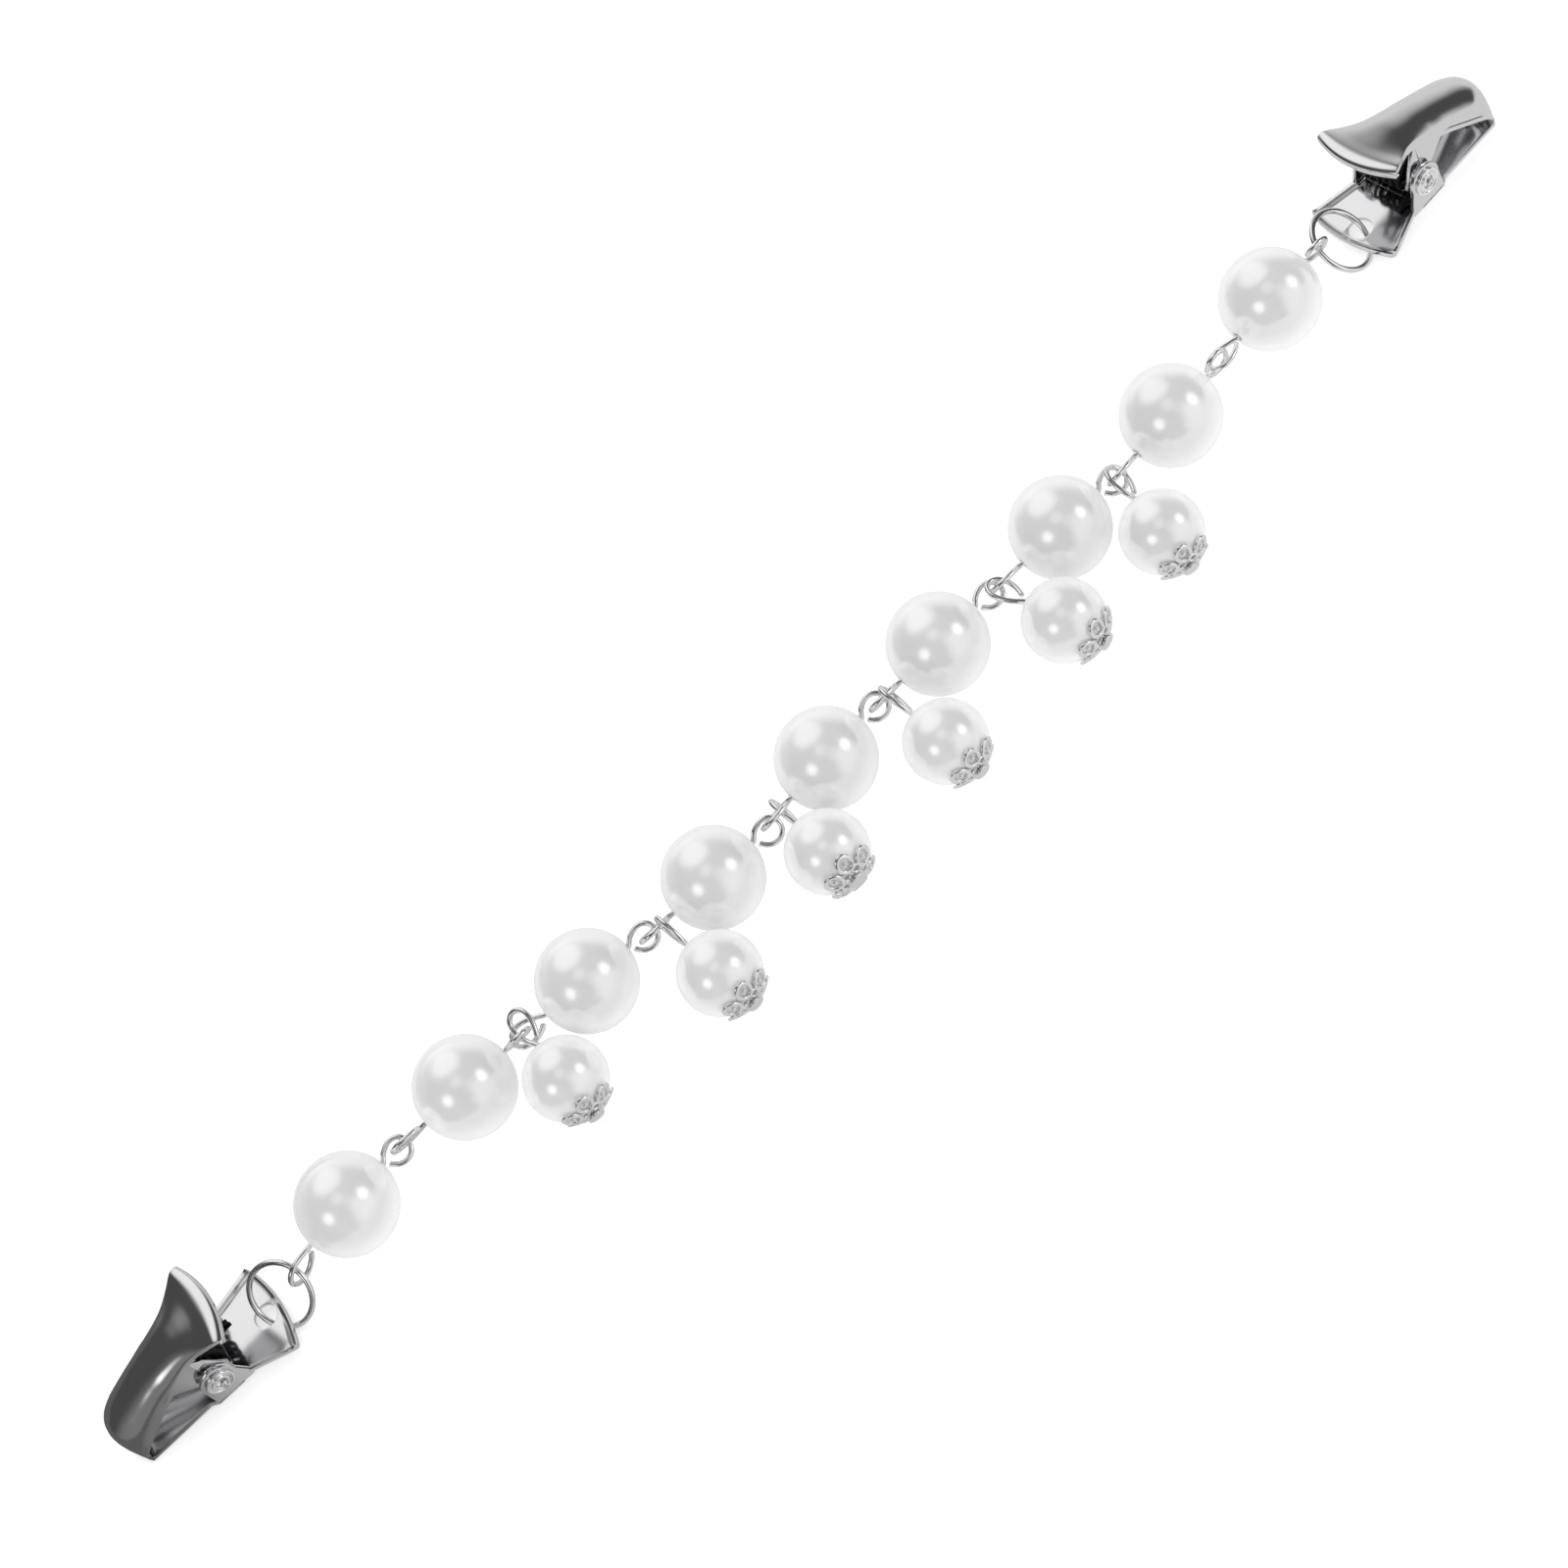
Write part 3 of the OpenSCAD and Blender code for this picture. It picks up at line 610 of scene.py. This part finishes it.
# hood: height of the crown, reach of the raised tail, its half width and bow, and the side strip
CROWN, THUMB, THUMB_HALF, THUMB_BOW, STRIP = 6.2, 4.1, 4.9, 1.1, 0.6
UPPER_EAR_OUT = EAR_OUT - SHEET - 0.45
WAIST_HALF = UPPER_EAR_OUT + 0.05
# the ring under the tail: its wire, and the play above and below it
RING_WIRE, RING_PLAY = 0.6, 0.1

tail_rise = RING_WIRE + 2 * RING_PLAY + (TAIL - FOLD + TAIL_BOW) * math.sin(BEND)
TILT = math.asin(tail_rise / (JAW + NOSE_BOW + TAIL + TAIL_BOW))
HINGES = {hinge["name"].split("_")[0]: hinge for hinge in frame["joints"]}
PIVOT = {side: Vector(hinge["pos_m"]) for side, hinge in HINGES.items()}


def clip_place(side):
    """From a clip's own frame to its place. Its hinge turns about the frame's -Y."""
    axis = HINGES[side]["axis"]
    heading = Matrix.Rotation(math.atan2(axis[0], -axis[1]), 4, "Z")
    return Matrix.Translation(PIVOT[side]) @ heading @ Matrix.Rotation(TILT, 4, "Y")


print("clip tilt", round(math.degrees(TILT), 2), "degrees")

# %% [markdown]
# ### Upper jaw
# The upper jaw is one sheet pressed into a long hood: closed at the nose, narrow over the pivot and
# flaring into the raised tail. The table gives the same sections as the model. Smooth curves run
# through them along the jaw, and at every station an arch runs across. Along each side the sheet
# turns down, and by the pivot it reaches down as an ear.

# %% Sections of the upper jaw
MOUTH = DROP - SHEET - 0.2
# along, flare, edge height, crown height, bow, roundness, side strip
SHELL = np.array([
    [-1.02, 0.98, 0.85, 0.87, -1.00, 2.0, 0.10],
    [-1.00, 1.00, 0.95, 0.975, -1.00, 2.0, 0.35],
    [-0.84, 0.89, 0.99, 1.02, -0.91, 2.0, 0.80],
    [-0.50, 0.49, 0.90, 0.975, -0.55, 2.0, 1.00],
    [-0.16, 0.15, 0.80, 0.935, -0.18, 2.2, 1.00],
    [0.06, 0.02, 0.695, 0.895, 0.00, 2.4, 1.00],
    [0.25, 0.00, 0.515, 0.805, 0.00, 2.4, 1.00],
    [0.45, 0.12, 0.36, 0.69, 0.08, 2.4, 1.00],
    [0.70, 0.56, 0.12, 0.50, 0.33, 2.4, 1.00],
    [0.90, 0.89, -0.22, 0.30, 0.67, 2.4, 1.00],
    [0.99, 0.89, -0.62, 0.13, 0.92, 2.4, 0.90],
    [1.01, 0.80, -0.96, -0.94, 1.00, 2.4, 0.10],
])


def section_sizes(row):
    """A row of the table in millimetres: x, half width, edge, crown, bow, roundness, strip."""
    x, flare, edge, crown, bow, roundness, strip = row
    reach, widest = (THUMB, THUMB_HALF) if x < 0 else (JAW, NOSE_HALF)
    half = WAIST_HALF + flare * (widest - WAIST_HALF)
    edge = edge * (MOUTH if edge < 0 else CROWN)
    crown = crown * (MOUTH if crown < 0 else CROWN)
    bow = bow * (THUMB_BOW if bow < 0 else NOSE_BOW)
    return x * reach, half, edge, crown, bow, roundness, strip * STRIP


def smooth_rows(rows, parts=7):
    """More rows between the given ones, on a Catmull-Rom curve. Its knots follow the arch's length."""
    rows = np.asarray(rows, float)
    steps = np.sqrt(((rows[1:, [0, 3]] - rows[:-1, [0, 3]]) ** 2).sum(1))
    knots = np.r_[0, np.cumsum(steps**0.5)]
    slopes = np.gradient(rows, knots, axis=0)
    out = []
    for k in range(len(rows) - 1):
        h = knots[k + 1] - knots[k]
        for t in np.linspace(0, 1, parts, endpoint=False):
            a, b = 2 * t**3 - 3 * t**2 + 1, t**3 - 2 * t**2 + t
            c, d = -2 * t**3 + 3 * t**2, t**3 - t**2
            out.append(a * rows[k] + b * h * slopes[k] + c * rows[k + 1] + d * h * slopes[k + 1])
    return np.array(out + [rows[-1]])


stations = smooth_rows([section_sizes(row) for row in SHELL])
print("upper jaw stations:", len(stations))

# %% Rows across the upper jaw
UPPER_EAR_R = EAR_R - 0.2
# where the ears hang from the hood, and where their slope meets its edge
EAR_FROM, EAR_TO, SLOPE_END = 0.5, 4.25, 0.42 * JAW
# towards the nose the strip is bent out from the arch: from where, over how far, how much
PULL_FROM, PULL_OVER, PULL = 0.35 * JAW, 1.2, 0.10
STRIP_STEPS = (0.12, 0.4, 0.7, 1.0)
COLUMNS = 15


def ear_foot(x, edge):
    """How low the sheet reaches at x where the ear hangs from it."""
    if x < UPPER_EAR_R:
        return -math.sqrt(UPPER_EAR_R**2 - x**2)
    return (x - UPPER_EAR_R) / (SLOPE_END - UPPER_EAR_R) * max(edge, 0)


def jaw_row(station):
    """Points across the jaw at one station, from one lower edge over the crown to the other."""
    x, half, edge, crown, bow, roundness, strip = station
    foot = edge - strip
    if EAR_FROM <= x <= EAR_TO:
        foot = min(foot, ear_foot(x, edge))
    pull = PULL * min(max((x - PULL_FROM) / PULL_OVER, 0), 1)
    arch = []
    for k in range(-COLUMNS, COLUMNS + 1):
        v = math.sin(math.pi / 2 * k / COLUMNS)
        rise = max(1 - abs(v) ** roundness, 0) ** 0.6
        arch.append((x + bow * (1 - v * v), (half - pull) * v, edge + (crown - edge) * rise))
    side = [(x, half, edge + (foot - edge) * t) for t in STRIP_STEPS]
    return [(x, -y, z) for x, y, z in side[::-1]] + arch + side


hood_rows = [jaw_row(station) for station in stations]
print("upper jaw grid:", len(hood_rows), "by", len(hood_rows[0]))

# %% [markdown]
# Pressed sheet starts here as a single surface. A Solidify modifier gives it its thickness and a
# Bevel modifier rounds its cut edges, which on the real clip come rounded from the press and the
# plating bath. The modifiers are put into the mesh, so nothing is left to work out later. The ears
# are cut from the same sheet and stand as flat plates.

# %% Sheet metal
def grid_faces(rows, columns):
    """The faces of a grid whose points come row by row."""
    return [
        (i * columns + j, i * columns + j + 1, (i + 1) * columns + j + 1, (i + 1) * columns + j)
        for i in range(rows - 1)
        for j in range(columns - 1)
    ]


def surface(name, rows):
    """A single surface through a grid of points."""
    points = [point for row in rows for point in row]
    return add_mesh(name, points, grid_faces(len(rows), len(rows[0])))


def finished_sheet(piece, edge, segments, shade):
    """Rounds the cut edges, applies all modifiers, and keeps corners over shade degrees sharp."""
    soft = piece.modifiers.new("soft_edges", "BEVEL")
    soft.width = edge * MM
    soft.segments = segments
    soft.limit_method = "ANGLE"
    soft.angle_limit = math.radians(50)
    done = piece.evaluated_get(bpy.context.evaluated_depsgraph_get())
    mesh = bpy.data.meshes.new_from_object(done)
    piece.modifiers.clear()
    old, piece.data = piece.data, mesh
    bpy.data.meshes.remove(old)
    mesh.polygons.foreach_set("use_smooth", [True] * len(mesh.polygons))
    mesh.set_sharp_from_angle(angle=math.radians(shade))
    return piece


def thickened(piece, side, edge, even=False):
    """Gives a surface the sheet's thickness, along its normals if side is 1 and against them if -1."""
    thick = piece.modifiers.new("thickness", "SOLIDIFY")
    thick.thickness = SHEET * MM
    thick.offset = side
    thick.use_even_offset = even
    return finished_sheet(piece, edge, 3, 50)


print("sheet tools ready")

# %% Ears
def ear(outline, y_from):
    """A flat plate cut to an outline in the XZ plane. It stands from y_from for a sheet's thickness."""
    n = len(outline)
    points = [(x, y, z) for y in (y_from, y_from + SHEET) for x, z in outline]
    faces = [tuple(range(n)), tuple(range(2 * n - 1, n - 1, -1))]
    faces += [(k, (k + 1) % n, n + (k + 1) % n, n + k) for k in range(n)]
    return finished_sheet(face_outwards(add_mesh("ear", points, faces)), 0.06, 2, 35)


def two_ears(outline, outer):
    """The ears on both sides, with their outer faces this far from the middle."""
    return [ear(outline, outer - SHEET), ear(outline, -outer)]


def arc(radius, first, last, steps, centre=(0, 0)):
    """Points on an arc from one angle to another, in degrees."""
    angles = [math.radians(a) for a in np.linspace(first, last, steps)]
    return [(centre[0] + radius * math.cos(a), centre[1] + radius * math.sin(a)) for a in angles]


print("ear tools ready")

# %% Upper jaws
def strip_middle(x):
    """Height of the middle of the side strip at x."""
    return float(np.interp(x, stations[:, 0], stations[:, 2] - stations[:, 6] / 2))


upper_ear = arc(UPPER_EAR_R, 180, 360, 40)
upper_ear += [(x, strip_middle(x)) for x in (0.40 * JAW, 0.25 * JAW, 0.3)]

for side in SIDES:
    # the grid's faces look inwards, so the thickness goes inwards too
    shell = thickened(surface("shell", hood_rows), 1, 0.07)
    hood = joined(f"{side}_hood", [shell] + two_ears(upper_ear, UPPER_EAR_OUT))
    hood.data.transform(clip_place(side))
    dress(hood, f"{side}_lever", f"{side}_upper_jaw", clip_plate)
print("upper jaw faces:", len(hood.data.polygons))

# %% [markdown]
# ### Lower jaw
# The lower jaw is a flat plate from the nose to a fold behind the pivot, where it becomes a wide
# tail with turned-up sides and the ring's hole. A grid follows the plate, and round the hole the
# grid gives way to rings of faces, so that the mirror-like metal shows no creases there.

# %% Rows across the tail
FOLD_BLEND = 0.5
# the tail's turned-up sides: their height and the radius of their bend
RIM_HEIGHT, RIM_BEND = 0.6, 0.3
RIM = [(RIM_BEND * math.sin(a), RIM_BEND * (1 - math.cos(a))) for a in np.radians(range(0, 91, 18))]
RIM.append((RIM_BEND, RIM_HEIGHT))
# the tail keeps just inside the ears' outer faces, because two faces in one plane would flicker
INSIDE_EARS = EAR_OUT - 0.03
# half the side of the square of the grid that holds the hole, and its faces along a side
HOLE_SQUARE, ACROSS = 1.5, 10
# the tail's end curls up: how high, and over how far
CURL, CURL_OVER = 0.16, 0.7


def lower_profile(x):
    """Height of the plate's upper face at x, level at the jaw and bent down behind the fold."""
    past = -FOLD - x
    bent = max(past, 0)
    if abs(past) < FOLD_BLEND:
        bent = (past + FOLD_BLEND) ** 2 / (4 * FOLD_BLEND)
    return SHEET - DROP - bent * math.tan(BEND)


def tail_half(x):
    """Half width of the tail at x."""
    return INSIDE_EARS + (TAIL_HALF - INSIDE_EARS) * min(max((-FOLD - x) / (TAIL - FOLD), 0), 1)


def tail_section(half):
    """Points across the tail as (y, rise): flat over the hole's square, flat beside it, then the rim."""
    flat_end = half - SHEET - RIM_BEND
    square = [(HOLE_SQUARE * (2 * k / ACROSS - 1), 0.0) for k in range(ACROSS + 1)]
    beside = [(HOLE_SQUARE + (flat_end - HOLE_SQUARE) * t, 0.0) for t in (0.2, 0.4, 0.6, 0.8)]
    side = beside + [(flat_end + out, rise) for out, rise in RIM]
    return [(-y, rise) for y, rise in side[::-1]] + square + side


def tail_row(x_middle):
    """A row across the tail. Rows near the end are bowed like the end itself."""
    bow = TAIL_BOW * max(-FOLD - x_middle, 0) / (TAIL + TAIL_BOW - FOLD)
    half = tail_half(x_middle + bow)
    curl = CURL * max(0, 1 - (TAIL + TAIL_BOW + x_middle) / CURL_OVER) ** 2
    row = []
    for y, rise in tail_section(half):
        x = x_middle + bow * (y / half) ** 2
        row.append((x, y, lower_profile(x) + rise + curl))
    return row


print("tail half width at its end", round(tail_half(-TAIL), 2))

# %% The tail with its hole
# where the rows lie: up to the square, over the square, and close together where the end curls up
BEFORE_SQUARE = np.linspace(-FOLD + 1.0, -HOLE_AT + HOLE_SQUARE, 14)[:-1]
OVER_SQUARE = np.linspace(-HOLE_AT + HOLE_SQUARE, -HOLE_AT - HOLE_SQUARE, ACROSS + 1)
AT_END = [-7.68, -7.76, -7.84, -TAIL - TAIL_BOW]
HOLE_RINGS = 4


def tail_surface():
    """The tail's upper face, with rings of faces from the square's border to the hole."""
    rows = [tail_row(x) for x in [*BEFORE_SQUARE, *OVER_SQUARE, *AT_END]]
    n = len(rows[0])
    points = [point for row in rows for point in row]
    top, left = len(BEFORE_SQUARE), (n - ACROSS - 1) // 2
    bottom, right = top + ACROSS, left + ACROSS
    faces = [
        face
        for face in grid_faces(len(rows), n)
        if not (top <= face[0] // n < bottom and left <= face[0] % n < right)
    ]
    border = [(top, left + k) for k in range(ACROSS)] + [(top + k, right) for k in range(ACROSS)]
    border += [(bottom, right - k) for k in range(ACROSS)] + [(bottom - k, left) for k in range(ACROSS)]
    outer = [i * n + j for i, j in border]
    previous = outer
    for ring in range(1, HOLE_RINGS + 1):
        current = []
        for x, y, _ in [points[k] for k in outer]:
            a = math.atan2(y, x + HOLE_AT)
            x += (-HOLE_AT + HOLE_R * math.cos(a) - x) * ring / HOLE_RINGS
            y += (HOLE_R * math.sin(a) - y) * ring / HOLE_RINGS
            current.append(len(points))
            points.append((x, y, lower_profile(x)))
        for k in range(len(outer)):
            after = (k + 1) % len(outer)
            faces.append((previous[k], previous[after], current[after], current[k]))
        previous = current
    return add_mesh("tail", points, faces)


def sheet_below(piece):
    """Turns a surface to look up and gives it its thickness below it."""
    face_outwards(piece)
    if sum(face.normal.z * face.area for face in piece.data.polygons) < 0:
        piece.data.flip_normals()
    return thickened(piece, -1, 0.06, even=True)


print("hole in the tail:", HOLE_RINGS, "rings of", 4 * ACROSS, "faces")

# %% Lower jaws
# where the ears' foot ends, where the plate starts to bow, and where it is as narrow as the jaw
EARS_END, BOW_FROM, JAW_FROM = 1.1 * EAR_R, 1.25 * EAR_R, 1.5 * EAR_R
PLATE_WIDTHS = [(-FOLD, EAR_OUT), (EARS_END, EAR_OUT), (JAW_FROM, NOSE_HALF - 0.1), (JAW, NOSE_HALF)]


def plate_row(x, columns=25):
    """A row across the plate under the hood. Rows bow more and more towards the bowed nose."""
    half = float(np.interp(x, [place for place, _ in PLATE_WIDTHS], [width for _, width in PLATE_WIDTHS]))
    bow = NOSE_BOW * max(x - BOW_FROM, 0) / (JAW - BOW_FROM)
    return [(x + bow * (1 - v * v), half * v, lower_profile(x)) for v in np.linspace(-1, 1, columns)]


plate_rows = [plate_row(x) for x in np.linspace(-FOLD + 0.93, EARS_END, 8)]
plate_rows += [plate_row(x) for x in np.linspace(BOW_FROM, JAW, 18)]
lower_ear = arc(EAR_R, -8, 188, 48) + [
    (-FOLD - 0.3, SHEET - DROP + RIM_HEIGHT - 0.02),
    (-FOLD - 0.3, 0.1 - DROP),
    (EARS_END, 0.1 - DROP),
]

for side in SIDES:
    sheets = [sheet_below(tail_surface()), sheet_below(surface("plate", plate_rows))]
    base = joined(f"{side}_base", sheets + two_ears(lower_ear, EAR_OUT))
    base.data.transform(clip_place(side))
    dress(base, "chain", f"{side}_lower_jaw", clip_plate)
print("lower jaw faces:", len(base.data.polygons))

# %% [markdown]
# ### Rivet, spring and ring
# The pivot is a short tube whose ends are rolled over: from the side it shows a raised ring, a
# groove and a smaller ring round the bore. A lathe profile gives all of it. The spring is wound
# round the rivet, with one leg on the tail and one under the hood. Its upper leg has to follow the
# hood when the clip opens, but nothing here bends the spring between the two bodies.

# %% Rivets
RIVET_R, RIVET_BORE = 1.1, 0.6
HEAD_R, HEAD_HIGH = 1.5, 0.38
HEAD_SEAT = EAR_OUT + 0.02
# how tightly the rim and the collar are rolled, and where the collar stands
RIM_ROLL, COLLAR_ROLL, COLLAR_AT = 0.17, 0.15, 0.81

rim = arc(RIM_ROLL, -60, 165, 9, (HEAD_R - RIM_ROLL, HEAD_SEAT + 0.18))
groove = [(1.14, HEAD_SEAT + 0.04), (1.02, HEAD_SEAT + 0.04)]
collar = arc(COLLAR_ROLL, 10, 160, 8, (COLLAR_AT, HEAD_SEAT + HEAD_HIGH - 0.13))
inside = [(RIVET_BORE + 0.02, HEAD_SEAT + 0.05), (RIVET_BORE, HEAD_SEAT - 0.2)]
half_rivet = [(RIVET_R, HEAD_SEAT)] + rim + groove + collar + inside

for side in SIDES:
    pivot = face_outwards(turned(f"{side}_pivot", half_rivet + [(r, -h) for r, h in half_rivet[::-1]], 72))
    pivot.data.transform(clip_place(side) @ turned_by(90, "X"))
    dress(pivot, "chain", f"{side}_rivet", silver_trim)
print("rivet faces:", len(pivot.data.polygons))

# %% Springs
SPRING_R, SPRING_WIRE_R, SPRING_TURNS = 1.6, 0.25, 5
LEG_GAP = 0.06
COIL_HALF = UPPER_EAR_OUT - SHEET - SPRING_WIRE_R - 0.1
# where the legs end: above the lower tail, and under the raised one
LOW_X, HIGH_X = -0.4 * TAIL, -0.68 * THUMB
LOW_Z = SHEET - DROP - (0.4 * TAIL - FOLD) * math.sin(BEND) + SPRING_WIRE_R + LEG_GAP
HIGH_Z = CROWN * 0.92 - SHEET - SPRING_WIRE_R - LEG_GAP
# how far up from the pivot the coil should follow the hood; a point there is worked out but not used
FOLLOWS_WITHIN = 2.0


def touch_angle(x, z, way):
    """Where round the coil a straight leg from (x, z) touches it."""
    return math.atan2(z, x) + way * math.acos(SPRING_R / math.hypot(x, z))


first = touch_angle(LOW_X, LOW_Z, 1)
part = touch_angle(HIGH_X, HIGH_Z, -1) - first
sweep = 2 * math.pi * (SPRING_TURNS + (1 if part < 0 else 0)) + part
coil = [
    (SPRING_R * math.cos(first + sweep * t), COIL_HALF * (2 * t - 1), SPRING_R * math.sin(first + sweep * t))
    for t in np.linspace(0, 1, 260)
]
spring_line = [(LOW_X, -COIL_HALF, LOW_Z)] + coil + [(HIGH_X, COIL_HALF, HIGH_Z)]

for side in SIDES:
    spring = wire(f"{side}_coil", evened(spring_line, 0.14, 1), SPRING_WIRE_R, 12)
    spring.data.transform(clip_place(side))
    spring.data.materials.append(spring_wire)
    start = PIVOT[side]
    towards_leg = (clip_place(side) @ (Vector((HIGH_X, 0, HIGH_Z)) * MM) - start).normalized()
    end = start + towards_leg * FOLLOWS_WITHIN * MM
    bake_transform(spring)
    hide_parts(f"{side}_spring")
print("spring faces:", len(spring.data.polygons))

# %% Rings
def ring_line(node, steps=120):
    """The middle line of a ring and half its wire, in millimetres, found from its node's own points."""
    where = np.array([v.co for v in frame["nodes"][node].data.vertices]) / MM
    centre = (where.min(0) + where.max(0)) / 2
    _, _, axes = np.linalg.svd(where - where.mean(0), full_matrices=False)
    reach = np.linalg.norm(where - centre, axis=1)
    radius, half_wire = (reach.max() + reach.min()) / 2, (reach.max() - reach.min()) / 2
    angles = np.linspace(0, 2 * math.pi, steps, endpoint=False)[:, None]
    return centre + radius * (np.cos(angles) * axes[0] + np.sin(angles) * axes[1]), half_wire


for side in SIDES:
    line, half_wire = ring_line(f"{side}_ring")
    hoop = face_outwards(wire(f"{side}_hoop", line, half_wire, 18, closed=True))
    dress(hoop, "chain", f"{side}_ring", silver_wire)
    print(side, "ring's wire", round(2 * float(half_wire), 3), "mm")

# %% [markdown]
# ## Table and light
# The row lies on a white table under even light, so its shadows are faint. Metal looks like metal
# only if it has bright and dark things to mirror. A jewellery photographer puts grey and white cards
# round the piece for this, and the table does the same here: to a mirrored ray it is dark at the
# left end of the row and light at the right end. Every other ray sees it white.

# %% Table
# where along the row, in mm, and how bright the table is there in a mirror
CARDS = [(-95, 0.12), (-88, 0.20), (-77, 0.55), (60, 0.68), (85, 0.74)]
CARDS_REACH, CARDS_SLANT = 100, -0.5
TABLE_SIDE, TABLE_WHITE, TABLE_GLOW = 6, 0.86, 0.45


def by_ray(tree, plain, mirrored, end):
    """Shows one shader to mirrored rays and another to all the rest."""
    path = tree.nodes.new("ShaderNodeLightPath")
    choice = tree.nodes.new("ShaderNodeMixShader")
    tree.links.new(path.outputs["Is Glossy Ray"], choice.inputs[0])
    tree.links.new(plain.outputs[0], choice.inputs[1])
    tree.links.new(mirrored.outputs[0], choice.inputs[2])
    tree.links.new(choice.outputs[0], end)


bpy.ops.mesh.primitive_plane_add(size=TABLE_SIDE, location=(0, 0, 0))
table = bpy.context.object
table.name = "table"
table_white = bpy.data.materials.new("table_white")
table_white.use_nodes = True
tree = table_white.node_tree
shader = tree.nodes["Principled BSDF"]
shader.inputs["Base Color"].default_value = (TABLE_WHITE, TABLE_WHITE, TABLE_WHITE, 1)
shader.inputs["Roughness"].default_value = 0.9
shader.inputs["Specular IOR Level"].default_value = 0.1
shader.inputs["Emission Color"].default_value = (1, 1, 1, 1)
shader.inputs["Emission Strength"].default_value = TABLE_GLOW
where = tree.nodes.new("ShaderNodeTexCoord")
split = tree.nodes.new("ShaderNodeSeparateXYZ")
tree.links.new(where.outputs["Object"], split.inputs[0])
slanted = math_node(tree, "MULTIPLY_ADD", split.outputs["Y"], CARDS_SLANT, split.outputs["X"])
along = math_node(tree, "MULTIPLY_ADD", slanted, 0.5 / (CARDS_REACH * MM), 0.5)
stops = [(0.5 + x / CARDS_REACH / 2, (grey, grey, grey)) for x, grey in CARDS]
mirrored = tree.nodes.new("ShaderNodeEmission")
tree.links.new(ramp(tree, along, stops, "EASE"), mirrored.inputs["Color"])
by_ray(tree, shader, mirrored, tree.nodes["Material Output"].inputs["Surface"])
table.data.materials.append(table_white)
print("table ready,", len(CARDS), "cards")

# %% [markdown]
# The pearls show what stands round them as soft patches: lamps, a large white panel over the back,
# pale walls, and dark gaps between them. These are soft round patches in the world, seen only in
# mirrors, so that none of them shows a hard edge in the metal. Three plain area lights do the
# lighting itself, and white air fills the shadows.

# %% What stands round the row
def direction(azimuth, elevation):
    """A direction from the row, in degrees: 0 is along +X, 90 behind the row, 270 in front of it."""
    a, e = math.radians(azimuth), math.radians(elevation)
    return Vector((math.cos(a) * math.cos(e), math.sin(a) * math.cos(e), math.sin(e)))


# azimuth, elevation, where the patch is full and where it ends (degrees from its middle), brightness
SURROUNDINGS = {
    "panel_over_back": (84, 54, 14, 36, 0.95),
    "lamp_right": (329, 30, 4, 16, 1.7),
    "lamp_left": (207, 38, 4, 16, 1.5),
    "lamp_over_front": (294, 48, 6, 20, 0.35),
    "wall_in_front": (300, 8, 14, 44, 0.80),
    "window_right": (62, -12, 22, 58, 0.68),
    "wall_behind": (95, 8, 6, 30, 0.20),
    "wall_left": (215, 5, 5, 60, 0.14),
    "gap_overhead": (267, 77, 6, 18, 0.5),
}
# brightness of the rest of the room in a mirror, and of the air for every other ray
ROOM, AIR = 0.07, 0.62

world = bpy.data.worlds.new("studio")
bpy.context.scene.world = world
world.use_nodes = True
tree = world.node_tree
where = tree.nodes.new("ShaderNodeTexCoord")
total = ROOM
for azimuth, elevation, full, end, brightness in SURROUNDINGS.values():
    near = tree.nodes.new("ShaderNodeVectorMath")
    near.operation = "DOT_PRODUCT"
    near.inputs[1].default_value = direction(azimuth, elevation)
    tree.links.new(where.outputs["Generated"], near.inputs[0])
    patch = tree.nodes.new("ShaderNodeMapRange")
    patch.interpolation_type = "SMOOTHSTEP"
    patch.inputs["From Min"].default_value = math.cos(math.radians(end))
    patch.inputs["From Max"].default_value = math.cos(math.radians(full))
    patch.inputs["To Max"].default_value = brightness
    tree.links.new(near.outputs["Value"], patch.inputs["Value"])
    total = math_node(tree, "ADD", patch.outputs[0], total)
seen = tree.nodes.new("ShaderNodeBackground")
tree.links.new(total, seen.inputs["Color"])
air = tree.nodes["Background"]
air.inputs["Color"].default_value = (AIR, AIR, AIR, 1)
by_ray(tree, air, seen, tree.nodes["World Output"].inputs["Surface"])
print("patches:", len(SURROUNDINGS))

# %% Lights
SOFTBOX_AWAY = 1.2
# azimuth, elevation, side of the square in metres, radiance
SOFTBOXES = {
    "softbox_right": (329, 30, 0.5, 2.0),
    "softbox_left": (207, 38, 0.5, 2.0),
    "softbox_over": (84, 60, 1.2, 1.1),
}

for name, (azimuth, elevation, side, radiance) in SOFTBOXES.items():
    lamp = new_object(name, bpy.data.lights.new(name, "AREA"))
    lamp.data.size = side
    lamp.data.energy = radiance * math.pi * side**2
    way = direction(azimuth, elevation)
    lamp.location = way * SOFTBOX_AWAY
    lamp.rotation_euler = way.to_track_quat("Z", "Y").to_euler()
    # the metal mirrors the soft patches instead
    lamp.visible_glossy = False
bpy.context.scene.view_settings.view_transform = "Standard"
print("lights:", len(SOFTBOXES))

# %% Boxes as plain numbers
def plain(box):
    """A box as plain lists of numbers."""
    return [[round(float(v), 6) for v in corner] for corner in box]
